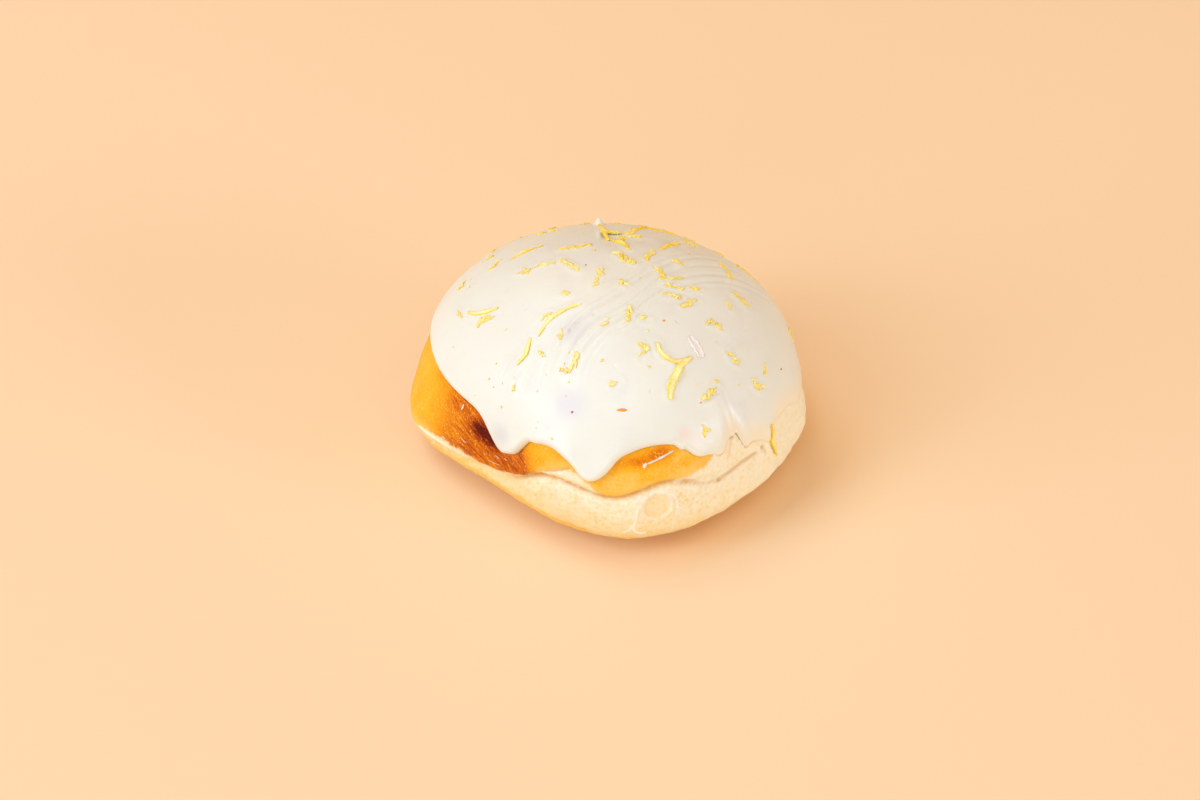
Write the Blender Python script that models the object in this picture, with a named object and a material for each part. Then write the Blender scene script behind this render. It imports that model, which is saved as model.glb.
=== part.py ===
"""A filled doughnut: a fried bun with a pale band round its foot, a cap of white icing
that runs down its sides in drips, and shreds of lemon zest set in the icing.

Metres, +Z up. The origin is the middle of the flat that the bun rests on. An azimuth is
counted anticlockwise from +X, seen from above. A rise is an angle up the bun's profile:
-90 degrees at the middle of the underside, 0 at the belly and 90 at the crown.
"""

import math
from collections import namedtuple

import bmesh
import bpy
import numpy as np

MM = 0.001
DEGREE = math.pi / 180

# The bun: a domed round, a little longer one way, that sits on a flat.
PLAN_RADIUS = 44.6 * MM
DOUGH_HEIGHT = 50.4 * MM
BELLY_HEIGHT = 11.8 * MM
DOME_FULLNESS = 0.94
FOOT_FULLNESS = 0.69
FLAT_SHARE = 0.06

Lobes = namedtuple("Lobes", "count height direction")
PLAN_LOBES = (
    Lobes(count=2, height=2.5 * MM, direction=-38),
    Lobes(count=3, height=1.4 * MM, direction=35),
    Lobes(count=4, height=0.8 * MM, direction=-2),
    Lobes(count=5, height=0.3 * MM, direction=-11),
)

# Swellings and hollows of the bun's side: positive pushes outwards.
Swelling = namedtuple("Swelling", "azimuth height half_angle half_height push")
SWELLINGS = (
    Swelling(azimuth=186, height=6.0 * MM, half_angle=22, half_height=10.0 * MM, push=4.35 * MM),
    Swelling(azimuth=228, height=18.0 * MM, half_angle=12, half_height=6.0 * MM, push=-1.6 * MM),
    Swelling(azimuth=250, height=25.0 * MM, half_angle=8, half_height=5.0 * MM, push=0.8 * MM),
    Swelling(azimuth=350, height=13.0 * MM, half_angle=12, half_height=7.0 * MM, push=0.9 * MM),
    Swelling(azimuth=4, height=24.0 * MM, half_angle=12, half_height=6.0 * MM, push=-0.9 * MM),
    Swelling(azimuth=22, height=37.0 * MM, half_angle=26, half_height=9.0 * MM, push=0.9 * MM),
)
SWELLING_FADE_RADIUS = 15 * MM

# The crease where the browned crust meets the pale band, as (azimuth, height).
CREASE_LINE = (
    (0, 16.0 * MM), (45, 17.5 * MM), (90, 17.0 * MM), (135, 12.0 * MM), (180, 7.5 * MM),
    (205, 10.5 * MM), (233, 14.0 * MM), (250, 21.0 * MM), (270, 19.8 * MM), (285, 22.8 * MM),
    (300, 20.2 * MM), (315, 21.8 * MM), (325, 20.0 * MM), (340, 17.0 * MM),
)
CREASE_DEPTH = 1.1 * MM
CREASE_HALF_HEIGHT = 1.0 * MM
# It is deep along the front only: this far each way from its middle, fading at its ends.
CREASE_MIDDLE = 252
CREASE_HALF_SPAN = 62
CREASE_FADE = 3
SHALLOW_SHARE = 0.2

# The icing: a coat with a rounded rim, its lower edge waved and drawn down into drips.
ICING_GAP = 0.3 * MM
ICING_THICKNESS = 1.3 * MM
RIM_WIDTH = 1.7 * MM
PROFILE_RADIUS = 41 * MM
EDGE_HEIGHT = 28.2 * MM
EDGE_WAVES = (
    Lobes(count=1, height=2.5 * MM, direction=284),
    Lobes(count=2, height=2.4 * MM, direction=-47),
)
# A drip reaches down from the edge. A negative reach is a notch upwards. Its bead is how much
# thicker the icing is there, and a negative bead is a thin smear of it.
Drip = namedtuple("Drip", "azimuth reach half_angle bead")
DRIPS = (
    Drip(azimuth=230.2, reach=7.0 * MM, half_angle=9.6, bead=0.8 * MM),
    Drip(azimuth=263.4, reach=6.3 * MM, half_angle=8.6, bead=1.3 * MM),
    Drip(azimuth=308.2, reach=7.1 * MM, half_angle=14.3, bead=-0.6 * MM),
    Drip(azimuth=308.7, reach=-5.9 * MM, half_angle=2.8, bead=0.0),
    Drip(azimuth=325.9, reach=6.7 * MM, half_angle=4.6, bead=-0.3 * MM),
    Drip(azimuth=352.6, reach=8.9 * MM, half_angle=35.8, bead=-0.4 * MM),
)
BEAD_REACH = 4.5 * MM
# By the crown the icing has a dimple, and beside that a small peak, where it was drawn up.
Dimple = namedtuple("Dimple", "azimuth rise half_width depth")
CROWN_DIMPLE = Dimple(azimuth=86, rise=75, half_width=3.6 * MM, depth=0.6 * MM)
Peak = namedtuple("Peak", "azimuth rise height base_radius tip_radius")
CROWN_PEAK = Peak(azimuth=98, rise=58.5, height=2.2 * MM, base_radius=1.5 * MM, tip_radius=0.5 * MM)
PEAK_SINK = 0.8 * MM
PEAK_SIDES = 8

# Shreds of zest. A heading is the way a shred runs: 0 towards growing azimuths, 90 towards the
# crown. Its bend is how far it turns from end to end.
Shred = namedtuple("Shred", "azimuth rise heading length width bend")
NOTED_SHREDS = (
    Shred(230, 64, 78, 12.8 * MM, 1.1 * MM, -63),
    Shred(301, 54, -62, 11.8 * MM, 1.2 * MM, 130),
    Shred(295, 48, -148, 13.7 * MM, 1.9 * MM, 46),
    Shred(224, 49, 90, 7.0 * MM, 1.3 * MM, 62),
    Shred(98, 67, 95, 11.5 * MM, 1.2 * MM, 8),
    Shred(86, 78, 133, 8.8 * MM, 1.5 * MM, -50),
    Shred(86, 69, 172, 6.8 * MM, 1.8 * MM, 25),
    Shred(73, 62, -96, 10.2 * MM, 1.5 * MM, -10),
    Shred(62, 56, -155, 7.6 * MM, 1.2 * MM, 10),
    Shred(75, 72, -131, 5.3 * MM, 1.0 * MM, -60),
    Shred(48, 87, 148, 5.9 * MM, 1.6 * MM, 21),
    Shred(41, 68, -78, 8.3 * MM, 1.3 * MM, -25),
    Shred(348, 78, -151, 5.5 * MM, 1.5 * MM, -40),
    Shred(350, 73, -57, 5.7 * MM, 0.9 * MM, 10),
    Shred(236, 83, -56, 6.4 * MM, 1.4 * MM, 21),
    Shred(171, 79, 51, 6.7 * MM, 1.4 * MM, 13),
    Shred(138, 76, 136, 6.0 * MM, 0.9 * MM, 15),
    Shred(339, 71, -68, 4.8 * MM, 0.9 * MM, 10),
    Shred(328, 70, -56, 5.3 * MM, 0.9 * MM, -10),
    Shred(331, 65, -27, 4.8 * MM, 1.2 * MM, 30),
    Shred(282, 70, -97, 4.5 * MM, 1.3 * MM, -41),
    Shred(265, 67, -106, 3.3 * MM, 0.9 * MM, 15),
    Shred(153, 63, 134, 7.6 * MM, 0.8 * MM, -24),
    Shred(187, 49, 50, 8.4 * MM, 1.1 * MM, 55),
    Shred(192, 48, 72, 4.4 * MM, 1.1 * MM, -20),
    Shred(286, 58, -79, 4.2 * MM, 1.4 * MM, -110),
    Shred(331, 55, -50, 4.1 * MM, 1.2 * MM, -53),
    Shred(324, 44, -92, 5.2 * MM, 1.1 * MM, 65),
    Shred(306, 39, -1, 3.6 * MM, 1.4 * MM, -10),
    Shred(299, 29, -102, 4.5 * MM, 1.1 * MM, 83),
    Shred(253, 53, 56, 6.7 * MM, 1.2 * MM, 118),
    Shred(12, 57, 180, 6.7 * MM, 1.1 * MM, -25),
    Shred(27, 40, -147, 6.8 * MM, 1.3 * MM, 15),
    Shred(355, 52, -108, 5.6 * MM, 1.0 * MM, -29),
    Shred(4, 24, -87, 6.6 * MM, 1.5 * MM, -50),
    Shred(327, 32, -64, 4.1 * MM, 1.5 * MM, 16),
    Shred(234, 51, -5, 2.3 * MM, 1.1 * MM, 10),
    Shred(33, 78, -60, 4.6 * MM, 1.3 * MM, 20),
    Shred(13, 72, -157, 2.9 * MM, 1.1 * MM, -20),
    Shred(346, 66, -80, 2.0 * MM, 1.0 * MM, 0),
    Shred(293, 68, -39, 1.7 * MM, 1.0 * MM, 10),
    Shred(216, 72, 23, 1.8 * MM, 1.5 * MM, 0),
    Shred(291, 82, -62, 1.7 * MM, 1.0 * MM, 10),
    Shred(240, 59, -48, 2.1 * MM, 1.0 * MM, 0),
    Shred(173, 65, 70, 3.2 * MM, 1.0 * MM, 20),
    Shred(169, 71, 90, 3.3 * MM, 0.9 * MM, 15),
    Shred(180, 40, 36, 1.6 * MM, 1.0 * MM, 0),
    Shred(220, 62, 69, 2.0 * MM, 1.1 * MM, 10),
    Shred(228, 37, -66, 1.4 * MM, 1.0 * MM, 0),
    Shred(272, 49, 29, 2.0 * MM, 1.1 * MM, 15),
    Shred(310, 41, -59, 1.4 * MM, 0.9 * MM, 0),
    Shred(347, 55, -121, 1.9 * MM, 1.0 * MM, 0),
    Shred(333, 33, -127, 2.9 * MM, 1.0 * MM, 20),
)
SIDE_SHRED = Shred(327, 7, -80, 5.6 * MM, 1.1 * MM, 13)

# More shreds lie round the back, where none is noted, thickest towards the crown.
SCATTERED_COUNT = 17
SCATTER_SEED = 7
SCATTER_START = 15
SCATTER_SPAN = 150
SCATTER_CROWN_POWER = 0.8
SCATTER_LOWEST_RISE = 38
SCATTER_CLEARANCE = 6.5 * MM
SCATTER_LEAST_LENGTH = 1.6 * MM
SCATTER_LENGTH_RANGE = 3.2 * MM
SCATTER_LEAST_WIDTH = 0.9 * MM
SCATTER_WIDTH_RANGE = 0.5 * MM
SCATTER_BEND_RANGE = 90
SHRED_HEIGHT = 0.5 * MM
SHRED_SINK = 0.7 * MM
SHRED_TOP_SHARE = 0.65
SHRED_END_SHARE = 0.45
SHRED_STATION_STEP = 1.8 * MM

# How finely the surfaces are cut.
COLUMNS = 104
FOOT_ROWS = 6
WALL_ROWS = 12
RIM_ROWS = 4
CAP_ROWS = 11
LINING_ROWS = 11
CREASE_ROW_OFFSET = 1.3 * MM
FIRST_FOOT_ROW_RISE = -66

COLOURS = {
    "dough": (0.90, 0.62, 0.25, 1.0),
    "icing": (0.93, 0.90, 0.82, 1.0),
}
ROUGHNESS = {"dough": 0.55, "icing": 0.3}


def turn_between(angle, centre):
    """The angle from centre, in radians from -pi to pi."""
    return (angle - centre + math.pi) % (2 * math.pi) - math.pi


def waves(azimuth, lobes):
    """The sum of even waves round the bun."""
    return sum(
        lobe.height * np.cos(lobe.count * (azimuth - lobe.direction * DEGREE)) for lobe in lobes
    )


def line_height(azimuth, line):
    """The height at an azimuth of a closed smooth line through (azimuth in degrees, height) knots."""
    knots = np.array([knot[0] for knot in line], float)
    heights = np.array([knot[1] for knot in line], float)
    at = np.asarray(azimuth) / DEGREE % 360
    turns = np.concatenate([knots - 360, knots, knots + 360])
    values = np.tile(heights, 3)
    i = np.searchsorted(turns, at, side="right") - 1
    step = turns[i + 1] - turns[i]
    t = (at - turns[i]) / step
    slope_in = (values[i + 1] - values[i - 1]) / (turns[i + 1] - turns[i - 1]) * step
    slope_out = (values[i + 2] - values[i]) / (turns[i + 2] - turns[i]) * step
    return (
        (2 * t**3 - 3 * t**2 + 1) * values[i]
        + (t**3 - 2 * t**2 + t) * slope_in
        + (3 * t**2 - 2 * t**3) * values[i + 1]
        + (t**3 - t**2) * slope_out
    )


def plan_radius(azimuth):
    return PLAN_RADIUS + waves(azimuth, PLAN_LOBES)


def side_push(azimuth, height):
    """How far the swellings, the hollows and the crease move the bun's side outwards."""
    push = 0 * azimuth * height
    for swelling in SWELLINGS:
        across = turn_between(azimuth, swelling.azimuth * DEGREE) / (swelling.half_angle * DEGREE)
        up = (height - swelling.height) / swelling.half_height
        push = push + swelling.push * np.exp(-(across**2) - up**2)
    return push - crease_depth(azimuth, height)


def crease_depth(azimuth, height):
    above = (height - line_height(azimuth, CREASE_LINE)) / CREASE_HALF_HEIGHT
    past_end = np.abs(turn_between(azimuth, CREASE_MIDDLE * DEGREE)) / DEGREE - CREASE_HALF_SPAN
    share = SHALLOW_SHARE + (1 - SHALLOW_SHARE) / (1 + np.exp(past_end / CREASE_FADE))
    return CREASE_DEPTH * share * np.exp(-(above**2))


def dough_point(azimuth, rise):
    """The point of the bun's surface at an azimuth and a rise, both in radians."""
    level = np.abs(np.cos(rise))
    steep = np.abs(np.sin(rise))
    upper = rise >= 0
    radius = plan_radius(azimuth) * level ** np.where(upper, DOME_FULLNESS, FOOT_FULLNESS)
    dome = BELLY_HEIGHT + (DOUGH_HEIGHT - BELLY_HEIGHT) * steep
    foot = BELLY_HEIGHT * np.maximum(0, 1 - steep / (1 - FLAT_SHARE))
    height = np.where(upper, dome, foot)
    fade = np.minimum(1, radius / SWELLING_FADE_RADIUS)
    radius = radius + side_push(azimuth, height) * fade
    return np.stack([radius * np.cos(azimuth), radius * np.sin(azimuth), height + 0 * azimuth], -1)


def outward(azimuth, rise):
    """The bun's outward normal, from points a small step apart."""
    step = 1e-3
    rise = np.minimum(rise, math.pi / 2 - 2 * step)
    east = dough_point(azimuth + step, rise) - dough_point(azimuth - step, rise)
    north = dough_point(azimuth, rise + step) - dough_point(azimuth, rise - step)
    normal = np.cross(east, north)
    return normal / np.linalg.norm(normal, axis=-1, keepdims=True)


def rise_at_height(height):
    """The rise in radians of the bun's surface at a height above the flat."""
    up = (height - BELLY_HEIGHT) / (DOUGH_HEIGHT - BELLY_HEIGHT)
    down = (1 - height / BELLY_HEIGHT) * (1 - FLAT_SHARE)
    return np.where(height >= BELLY_HEIGHT, np.arcsin(np.clip(up, 0, 1)), -np.arcsin(np.clip(down, 0, 1)))


def icing_edge_rise(azimuth):
    """The rise in radians of the icing's lower edge."""
    height = EDGE_HEIGHT + waves(azimuth, EDGE_WAVES)
    for drip in DRIPS:
        across = turn_between(azimuth, drip.azimuth * DEGREE) / (drip.half_angle * DEGREE)
        height = height - drip.reach * np.exp(-(across**2))
    return rise_at_height(height)


def icing_depth(azimuth, rise):
    """The icing's thickness: a rounded rim, beads on the drips, and a dimple by the crown."""
    from_edge = (rise - icing_edge_rise(azimuth)) * PROFILE_RADIUS
    depth = ICING_THICKNESS + 0 * from_edge
    for drip in DRIPS:
        across = turn_between(azimuth, drip.azimuth * DEGREE) / (drip.half_angle * DEGREE)
        depth = depth + drip.bead * np.exp(-(across**2) - (from_edge / BEAD_REACH) ** 2)
    centre = dough_point(np.array(CROWN_DIMPLE.azimuth * DEGREE), np.array(CROWN_DIMPLE.rise * DEGREE))
    apart = np.linalg.norm(dough_point(azimuth, rise) - centre, axis=-1) / CROWN_DIMPLE.half_width
    depth = depth - CROWN_DIMPLE.depth * np.exp(-(apart**2))
    into_rim = np.clip(from_edge / RIM_WIDTH, 0, 1)
    return depth * np.sqrt(1 - (1 - into_rim) ** 2)


def icing_point(azimuth, rise, above=0.0):
    """The point of the icing's outer face, or one that far above it."""
    lift = ICING_GAP + icing_depth(azimuth, rise) + above
    return dough_point(azimuth, rise) + outward(azimuth, rise) * lift[..., None]


def mesh_object(name, points, faces):
    mesh = bpy.data.meshes.new(name)
    mesh.from_pydata([tuple(point) for point in points], [], faces)
    shape = bmesh.new()
    shape.from_mesh(mesh)
    bmesh.ops.recalc_face_normals(shape, faces=shape.faces)
    shape.to_mesh(mesh)
    shape.free()
    mesh.shade_smooth()
    made = bpy.data.objects.new(name, mesh)
    bpy.context.scene.collection.objects.link(made)
    return made


def skin(name, rings, first_pole, last_pole):
    """A closed body through rings of points, one above the other, with a pole at each end."""
    around = len(rings[0])
    points = [first_pole]
    for ring in rings:
        points.extend(ring)
    points.append(last_pole)
    faces = []
    for column in range(around):
        beside = (column + 1) % around
        faces.append((0, 1 + column, 1 + beside))
        for row in range(len(rings) - 1):
            low = 1 + row * around
            high = low + around
            faces.append((low + column, low + beside, high + beside, high + column))
        top = 1 + (len(rings) - 1) * around
        faces.append((top + beside, top + column, len(points) - 1))
    return mesh_object(name, points, faces)


def azimuths():
    return np.arange(COLUMNS) / COLUMNS * 2 * math.pi


def paint(made):
    material = bpy.data.materials.new(made.name)
    material.use_nodes = True
    shader = material.node_tree.nodes["Principled BSDF"]
    shader.inputs["Base Color"].default_value = COLOURS[made.name]
    shader.inputs["Roughness"].default_value = ROUGHNESS[made.name]
    shader.inputs["Metallic"].default_value = 0.0
    made.data.materials.clear()
    made.data.materials.append(material)


def make_dough():
    """The bun, with rows of points that follow the crease."""
    azimuth = azimuths()
    crease = line_height(azimuth, CREASE_LINE)
    below, above = (rise_at_height(crease + side * CREASE_ROW_OFFSET) for side in (-1, 1))
    first = FIRST_FOOT_ROW_RISE * DEGREE
    flat_edge = -math.asin(1 - FLAT_SHARE) + 0 * azimuth
    rises = [flat_edge]
    rises += [first + (below - first) * row / FOOT_ROWS for row in range(FOOT_ROWS)]
    rises += [below, rise_at_height(crease), above]
    rises += [above + (math.pi / 2 - above) * row / WALL_ROWS for row in range(1, WALL_ROWS)]
    rings = [dough_point(azimuth, rise) for rise in rises]
    return skin("dough", rings, (0, 0, 0), (0, 0, DOUGH_HEIGHT))


def make_icing():
    """The icing's coat: an outer face down to its edge, and a lining back up to the crown."""
    azimuth = azimuths()
    edge = icing_edge_rise(azimuth)
    crown = math.pi / 2
    rim_top = edge + RIM_WIDTH / PROFILE_RADIUS
    rim_rises = [
        edge + (rim_top - edge) * (1 - math.cos(crown * row / RIM_ROWS)) for row in range(1, RIM_ROWS)
    ]
    cap_rises = [rim_top + (crown - rim_top) * row / CAP_ROWS for row in range(CAP_ROWS)]
    lining_rises = [edge]
    lining_rises += [rim_top + (crown - rim_top) * row / LINING_ROWS for row in range(LINING_ROWS)]
    outer = [icing_point(azimuth, rise) for rise in rim_rises + cap_rises]
    lining = [
        dough_point(azimuth, rise) + outward(azimuth, rise) * ICING_GAP for rise in lining_rises
    ]
    crown_at = np.array(0.0), np.array(crown)
    crown_top = icing_point(*crown_at)
    crown_under = dough_point(*crown_at) + outward(*crown_at) * ICING_GAP
    return skin("icing", outer[::-1] + lining, crown_top, crown_under)


def under(point):
    """The azimuth and the rise of the bun's surface below a point."""
    azimuth = math.atan2(point[1], point[0])
    level = (math.hypot(point[0], point[1]) / plan_radius(azimuth)) ** (1 / DOME_FULLNESS)
    steep = (point[2] - BELLY_HEIGHT) / (DOUGH_HEIGHT - BELLY_HEIGHT)
    return np.array(azimuth), np.array(math.atan2(steep, level))


def headed(at, heading):
    """The way along the bun's surface from a place: 0 towards growing azimuths, up at 90 degrees."""
    up = outward(*at)
    east = np.cross((0, 0, 1), up)
    east /= np.linalg.norm(east)
    return east * math.cos(heading) + np.cross(up, east) * math.sin(heading)


def shred_stations(shred, surface):
    """Points along a shred, each with its way across and the way up."""
    steps = max(2, round(shred.length / SHRED_STATION_STEP))
    turn = shred.bend * DEGREE / steps
    middle = np.array(shred.azimuth * DEGREE), np.array(shred.rise * DEGREE)
    half_way = headed(middle, shred.heading * DEGREE) * shred.length / 2
    at = under(surface(*middle) - half_way)
    along = headed(at, (shred.heading - shred.bend / 2) * DEGREE)
    stations = []
    for _ in range(steps + 1):
        point, up = surface(*at), outward(*at)
        along = along - up * along.dot(up)
        along /= np.linalg.norm(along)
        across = np.cross(up, along)
        stations.append((point, across, up))
        along = along * math.cos(turn) + across * math.sin(turn)
        at = under(point + along * shred.length / steps)
    return stations


def make_shred(shred, surface, number):
    """One shred of zest: a ribbon, narrower on top and at its ends, half sunk in what it lies on."""
    stations = shred_stations(shred, surface)
    points = []
    for place, (point, across, up) in enumerate(stations):
        share = place / (len(stations) - 1)
        half = shred.width / 2 * (SHRED_END_SHARE + (1 - SHRED_END_SHARE) * math.sin(math.pi * share))
        low = point - up * SHRED_SINK
        high = point + up * SHRED_HEIGHT
        points += [low - across * half, low + across * half]
        points += [high + across * half * SHRED_TOP_SHARE, high - across * half * SHRED_TOP_SHARE]
    last = len(points) - 4
    faces = [(3, 2, 1, 0), (last, last + 1, last + 2, last + 3)]
    for base in range(0, last, 4):
        for side in range(4):
            beside = (side + 1) % 4
            faces.append((base + side, base + beside, base + beside + 4, base + side + 4))
    return mesh_object(f"shred_{number}", points, faces)


def icing_place(shred):
    return icing_point(np.array(shred.azimuth * DEGREE), np.array(shred.rise * DEGREE))


def scattered_shreds():
    """Small shreds in the places that the noted ones leave, thickest round the crown."""
    draw = np.random.default_rng(SCATTER_SEED)
    taken = [icing_place(shred) for shred in NOTED_SHREDS]
    shreds = []
    while len(shreds) < SCATTERED_COUNT:
        azimuth, spread, heading, size, shape = draw.random(5)
        shred = Shred(
            azimuth=SCATTER_START + SCATTER_SPAN * azimuth,
            rise=90 - (90 - SCATTER_LOWEST_RISE) * spread**SCATTER_CROWN_POWER,
            heading=heading * 360,
            length=SCATTER_LEAST_LENGTH + SCATTER_LENGTH_RANGE * size**2,
            width=SCATTER_LEAST_WIDTH + SCATTER_WIDTH_RANGE * shape,
            bend=(shape - 0.5) * SCATTER_BEND_RANGE,
        )
        place = icing_place(shred)
        if min(np.linalg.norm(place - other) for other in taken) > SCATTER_CLEARANCE:
            taken.append(place)
            shreds.append(shred)
    return shreds


def make_peak():
    """The small peak of icing by the crown: a cone that narrows to a blunt tip."""
    at = np.array(CROWN_PEAK.azimuth * DEGREE), np.array(CROWN_PEAK.rise * DEGREE)
    foot = icing_point(*at)
    up = outward(*at)
    east = np.cross((0, 0, 1), up)
    east /= np.linalg.norm(east)
    north = np.cross(up, east)
    turns = np.arange(PEAK_SIDES)[:, None] / PEAK_SIDES * 2 * math.pi
    ring = east * np.cos(turns) + north * np.sin(turns)
    low = foot - up * PEAK_SINK
    high = foot + up * CROWN_PEAK.height
    rings = [low + ring * CROWN_PEAK.base_radius, high + ring * CROWN_PEAK.tip_radius]
    return skin("peak", rings, low, high)


def fuse(body, pieces):
    """Joins the pieces to the body with one Boolean union, and removes them."""
    collection = bpy.data.collections.new(f"{body.name}_pieces")
    bpy.context.scene.collection.children.link(collection)
    for piece in pieces:
        bpy.context.scene.collection.objects.unlink(piece)
        collection.objects.link(piece)
    union = body.modifiers.new("fuse", "BOOLEAN")
    union.operation = "UNION"
    union.operand_type = "COLLECTION"
    union.collection = collection
    union.solver = "MANIFOLD"
    with bpy.context.temp_override(object=body, active_object=body):
        bpy.ops.object.modifier_apply(modifier=union.name)
    for piece in pieces:
        bpy.data.objects.remove(piece)
    bpy.data.collections.remove(collection)


def main():
    for old in list(bpy.data.objects):
        bpy.data.objects.remove(old)
    dough = make_dough()
    icing = make_icing()
    zest = list(NOTED_SHREDS) + scattered_shreds()
    on_icing = [make_shred(shred, icing_point, number) for number, shred in enumerate(zest)]
    fuse(icing, on_icing + [make_peak()])
    fuse(dough, [make_shred(SIDE_SHRED, dough_point, len(zest))])
    for made in (dough, icing):
        paint(made)


main()
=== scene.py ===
"""The looks of a filled doughnut: a fried bun with a pale band, white icing and lemon zest.

The shape functions repeat the part's own, in metres, and add what is too fine for its solids:
wrinkles and pores of the dough, browning, drag marks in the icing, and the grain of the zest.
An azimuth is counted anticlockwise from +X, seen from above. A rise is an angle up the bun's
profile: -90 degrees at the middle of the underside, 0 at the belly and 90 at the crown. Tables
hold millimetres and degrees, and sized() turns their lengths into metres.
"""

import math
from collections import namedtuple

import bmesh
import bpy
import numpy as np
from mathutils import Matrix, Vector
from mathutils.kdtree import KDTree


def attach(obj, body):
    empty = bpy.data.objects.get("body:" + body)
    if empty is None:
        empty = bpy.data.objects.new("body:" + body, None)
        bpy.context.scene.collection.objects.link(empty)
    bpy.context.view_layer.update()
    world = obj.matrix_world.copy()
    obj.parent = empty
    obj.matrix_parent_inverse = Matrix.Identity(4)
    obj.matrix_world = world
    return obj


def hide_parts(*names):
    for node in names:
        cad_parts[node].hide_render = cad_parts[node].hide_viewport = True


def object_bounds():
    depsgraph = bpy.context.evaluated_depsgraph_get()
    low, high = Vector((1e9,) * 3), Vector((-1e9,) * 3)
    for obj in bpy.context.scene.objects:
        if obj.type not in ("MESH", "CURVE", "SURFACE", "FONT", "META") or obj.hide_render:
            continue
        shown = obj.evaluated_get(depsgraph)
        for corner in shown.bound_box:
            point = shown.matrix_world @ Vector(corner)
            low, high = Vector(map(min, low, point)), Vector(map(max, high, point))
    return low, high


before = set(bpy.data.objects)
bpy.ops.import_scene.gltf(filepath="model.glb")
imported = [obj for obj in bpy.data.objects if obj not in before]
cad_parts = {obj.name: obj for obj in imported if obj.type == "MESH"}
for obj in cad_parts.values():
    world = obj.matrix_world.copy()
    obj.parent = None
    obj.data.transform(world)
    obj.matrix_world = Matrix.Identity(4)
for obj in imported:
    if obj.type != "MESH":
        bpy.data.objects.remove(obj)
CAD_BOX = [list(corner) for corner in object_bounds()]

MM = 0.001
DEGREE = math.pi / 180
CROWN = math.pi / 2


def sized(kind, fields, rows):
    """Rows of one kind, with the named fields turned from millimetres into metres."""
    made = [kind(*row) for row in rows]
    return tuple(row._replace(**{field: getattr(row, field) * MM for field in fields}) for row in made)


# ---------------------------------------------------------------- the part's own shape

PLAN_RADIUS = 44.6 * MM
DOUGH_HEIGHT = 50.4 * MM
BELLY_HEIGHT = 11.8 * MM
DOME_FULLNESS = 0.94
FOOT_FULLNESS = 0.69
FLAT_SHARE = 0.06

Lobes = namedtuple("Lobes", "count height direction")
PLAN_LOBES = sized(Lobes, ["height"], (
    (2, 2.5, -38), (3, 1.4, 35), (4, 0.8, -2), (5, 0.3, -11),
))

# Swellings and hollows of the bun's side: positive pushes outwards.
Swelling = namedtuple("Swelling", "azimuth height half_angle half_height push")
SWELLINGS = sized(Swelling, ["height", "half_height", "push"], (
    (186, 6.0, 22, 10.0, 4.35), (228, 18.0, 12, 6.0, -1.6), (250, 25.0, 8, 5.0, 0.8),
    (350, 13.0, 12, 7.0, 0.9), (4, 24.0, 12, 6.0, -0.9), (22, 37.0, 26, 9.0, 0.9),
))
SWELLING_FADE_RADIUS = 15 * MM

# The crease where the browned crust meets the pale band, as azimuths and heights in millimetres.
CREASE_LINE = (
    (0, 16.0), (45, 17.5), (90, 17.0), (135, 12.0), (180, 7.5), (205, 10.5), (233, 14.0),
    (250, 21.0), (270, 19.8), (285, 22.8), (300, 20.2), (315, 21.8), (325, 20.0), (340, 17.0),
)
CREASE_DEPTH = 1.1 * MM
CREASE_HALF_HEIGHT = 1.0 * MM
# It is deep along the front only: this far each way from its middle, fading at its ends.
CREASE_MIDDLE = 252
CREASE_HALF_SPAN = 62
CREASE_FADE = 3
SHALLOW_SHARE = 0.2

# The icing: a coat with a rounded rim, its lower edge waved and drawn down into drips.
ICING_GAP = 0.3 * MM
ICING_THICKNESS = 1.3 * MM
RIM_WIDTH = 1.7 * MM
PROFILE_RADIUS = 41 * MM
EDGE_HEIGHT = 28.2 * MM
EDGE_WAVES = sized(Lobes, ["height"], (
    (1, 2.5, 284), (2, 2.4, -47),
))
# A drip reaches down from the edge. A negative reach is a notch upwards. Its bead is how much
# thicker the icing is there, and a negative bead is a thin smear of it.
Drip = namedtuple("Drip", "azimuth reach half_angle bead", defaults=[0.0])
DRIPS = sized(Drip, ["reach", "bead"], (
    (230.2, 7.0, 9.6, 0.8), (263.4, 6.3, 8.6, 1.3), (308.2, 7.1, 14.3, -0.6),
    (308.7, -5.9, 2.8, 0.0), (325.9, 6.7, 4.6, -0.3), (352.6, 8.9, 35.8, -0.4),
))
BEAD_REACH = 4.5 * MM
# By the crown the icing has a dimple, and beside that a small peak, where it was drawn up.
Dimple = namedtuple("Dimple", "azimuth rise half_width depth")
CROWN_DIMPLE = Dimple(azimuth=86, rise=75, half_width=3.6 * MM, depth=0.6 * MM)
Peak = namedtuple("Peak", "azimuth rise height base_radius")
CROWN_PEAK = Peak(azimuth=98, rise=58.5, height=2.2 * MM, base_radius=1.5 * MM)
PEAK_SHARPNESS = 1.3

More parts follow.
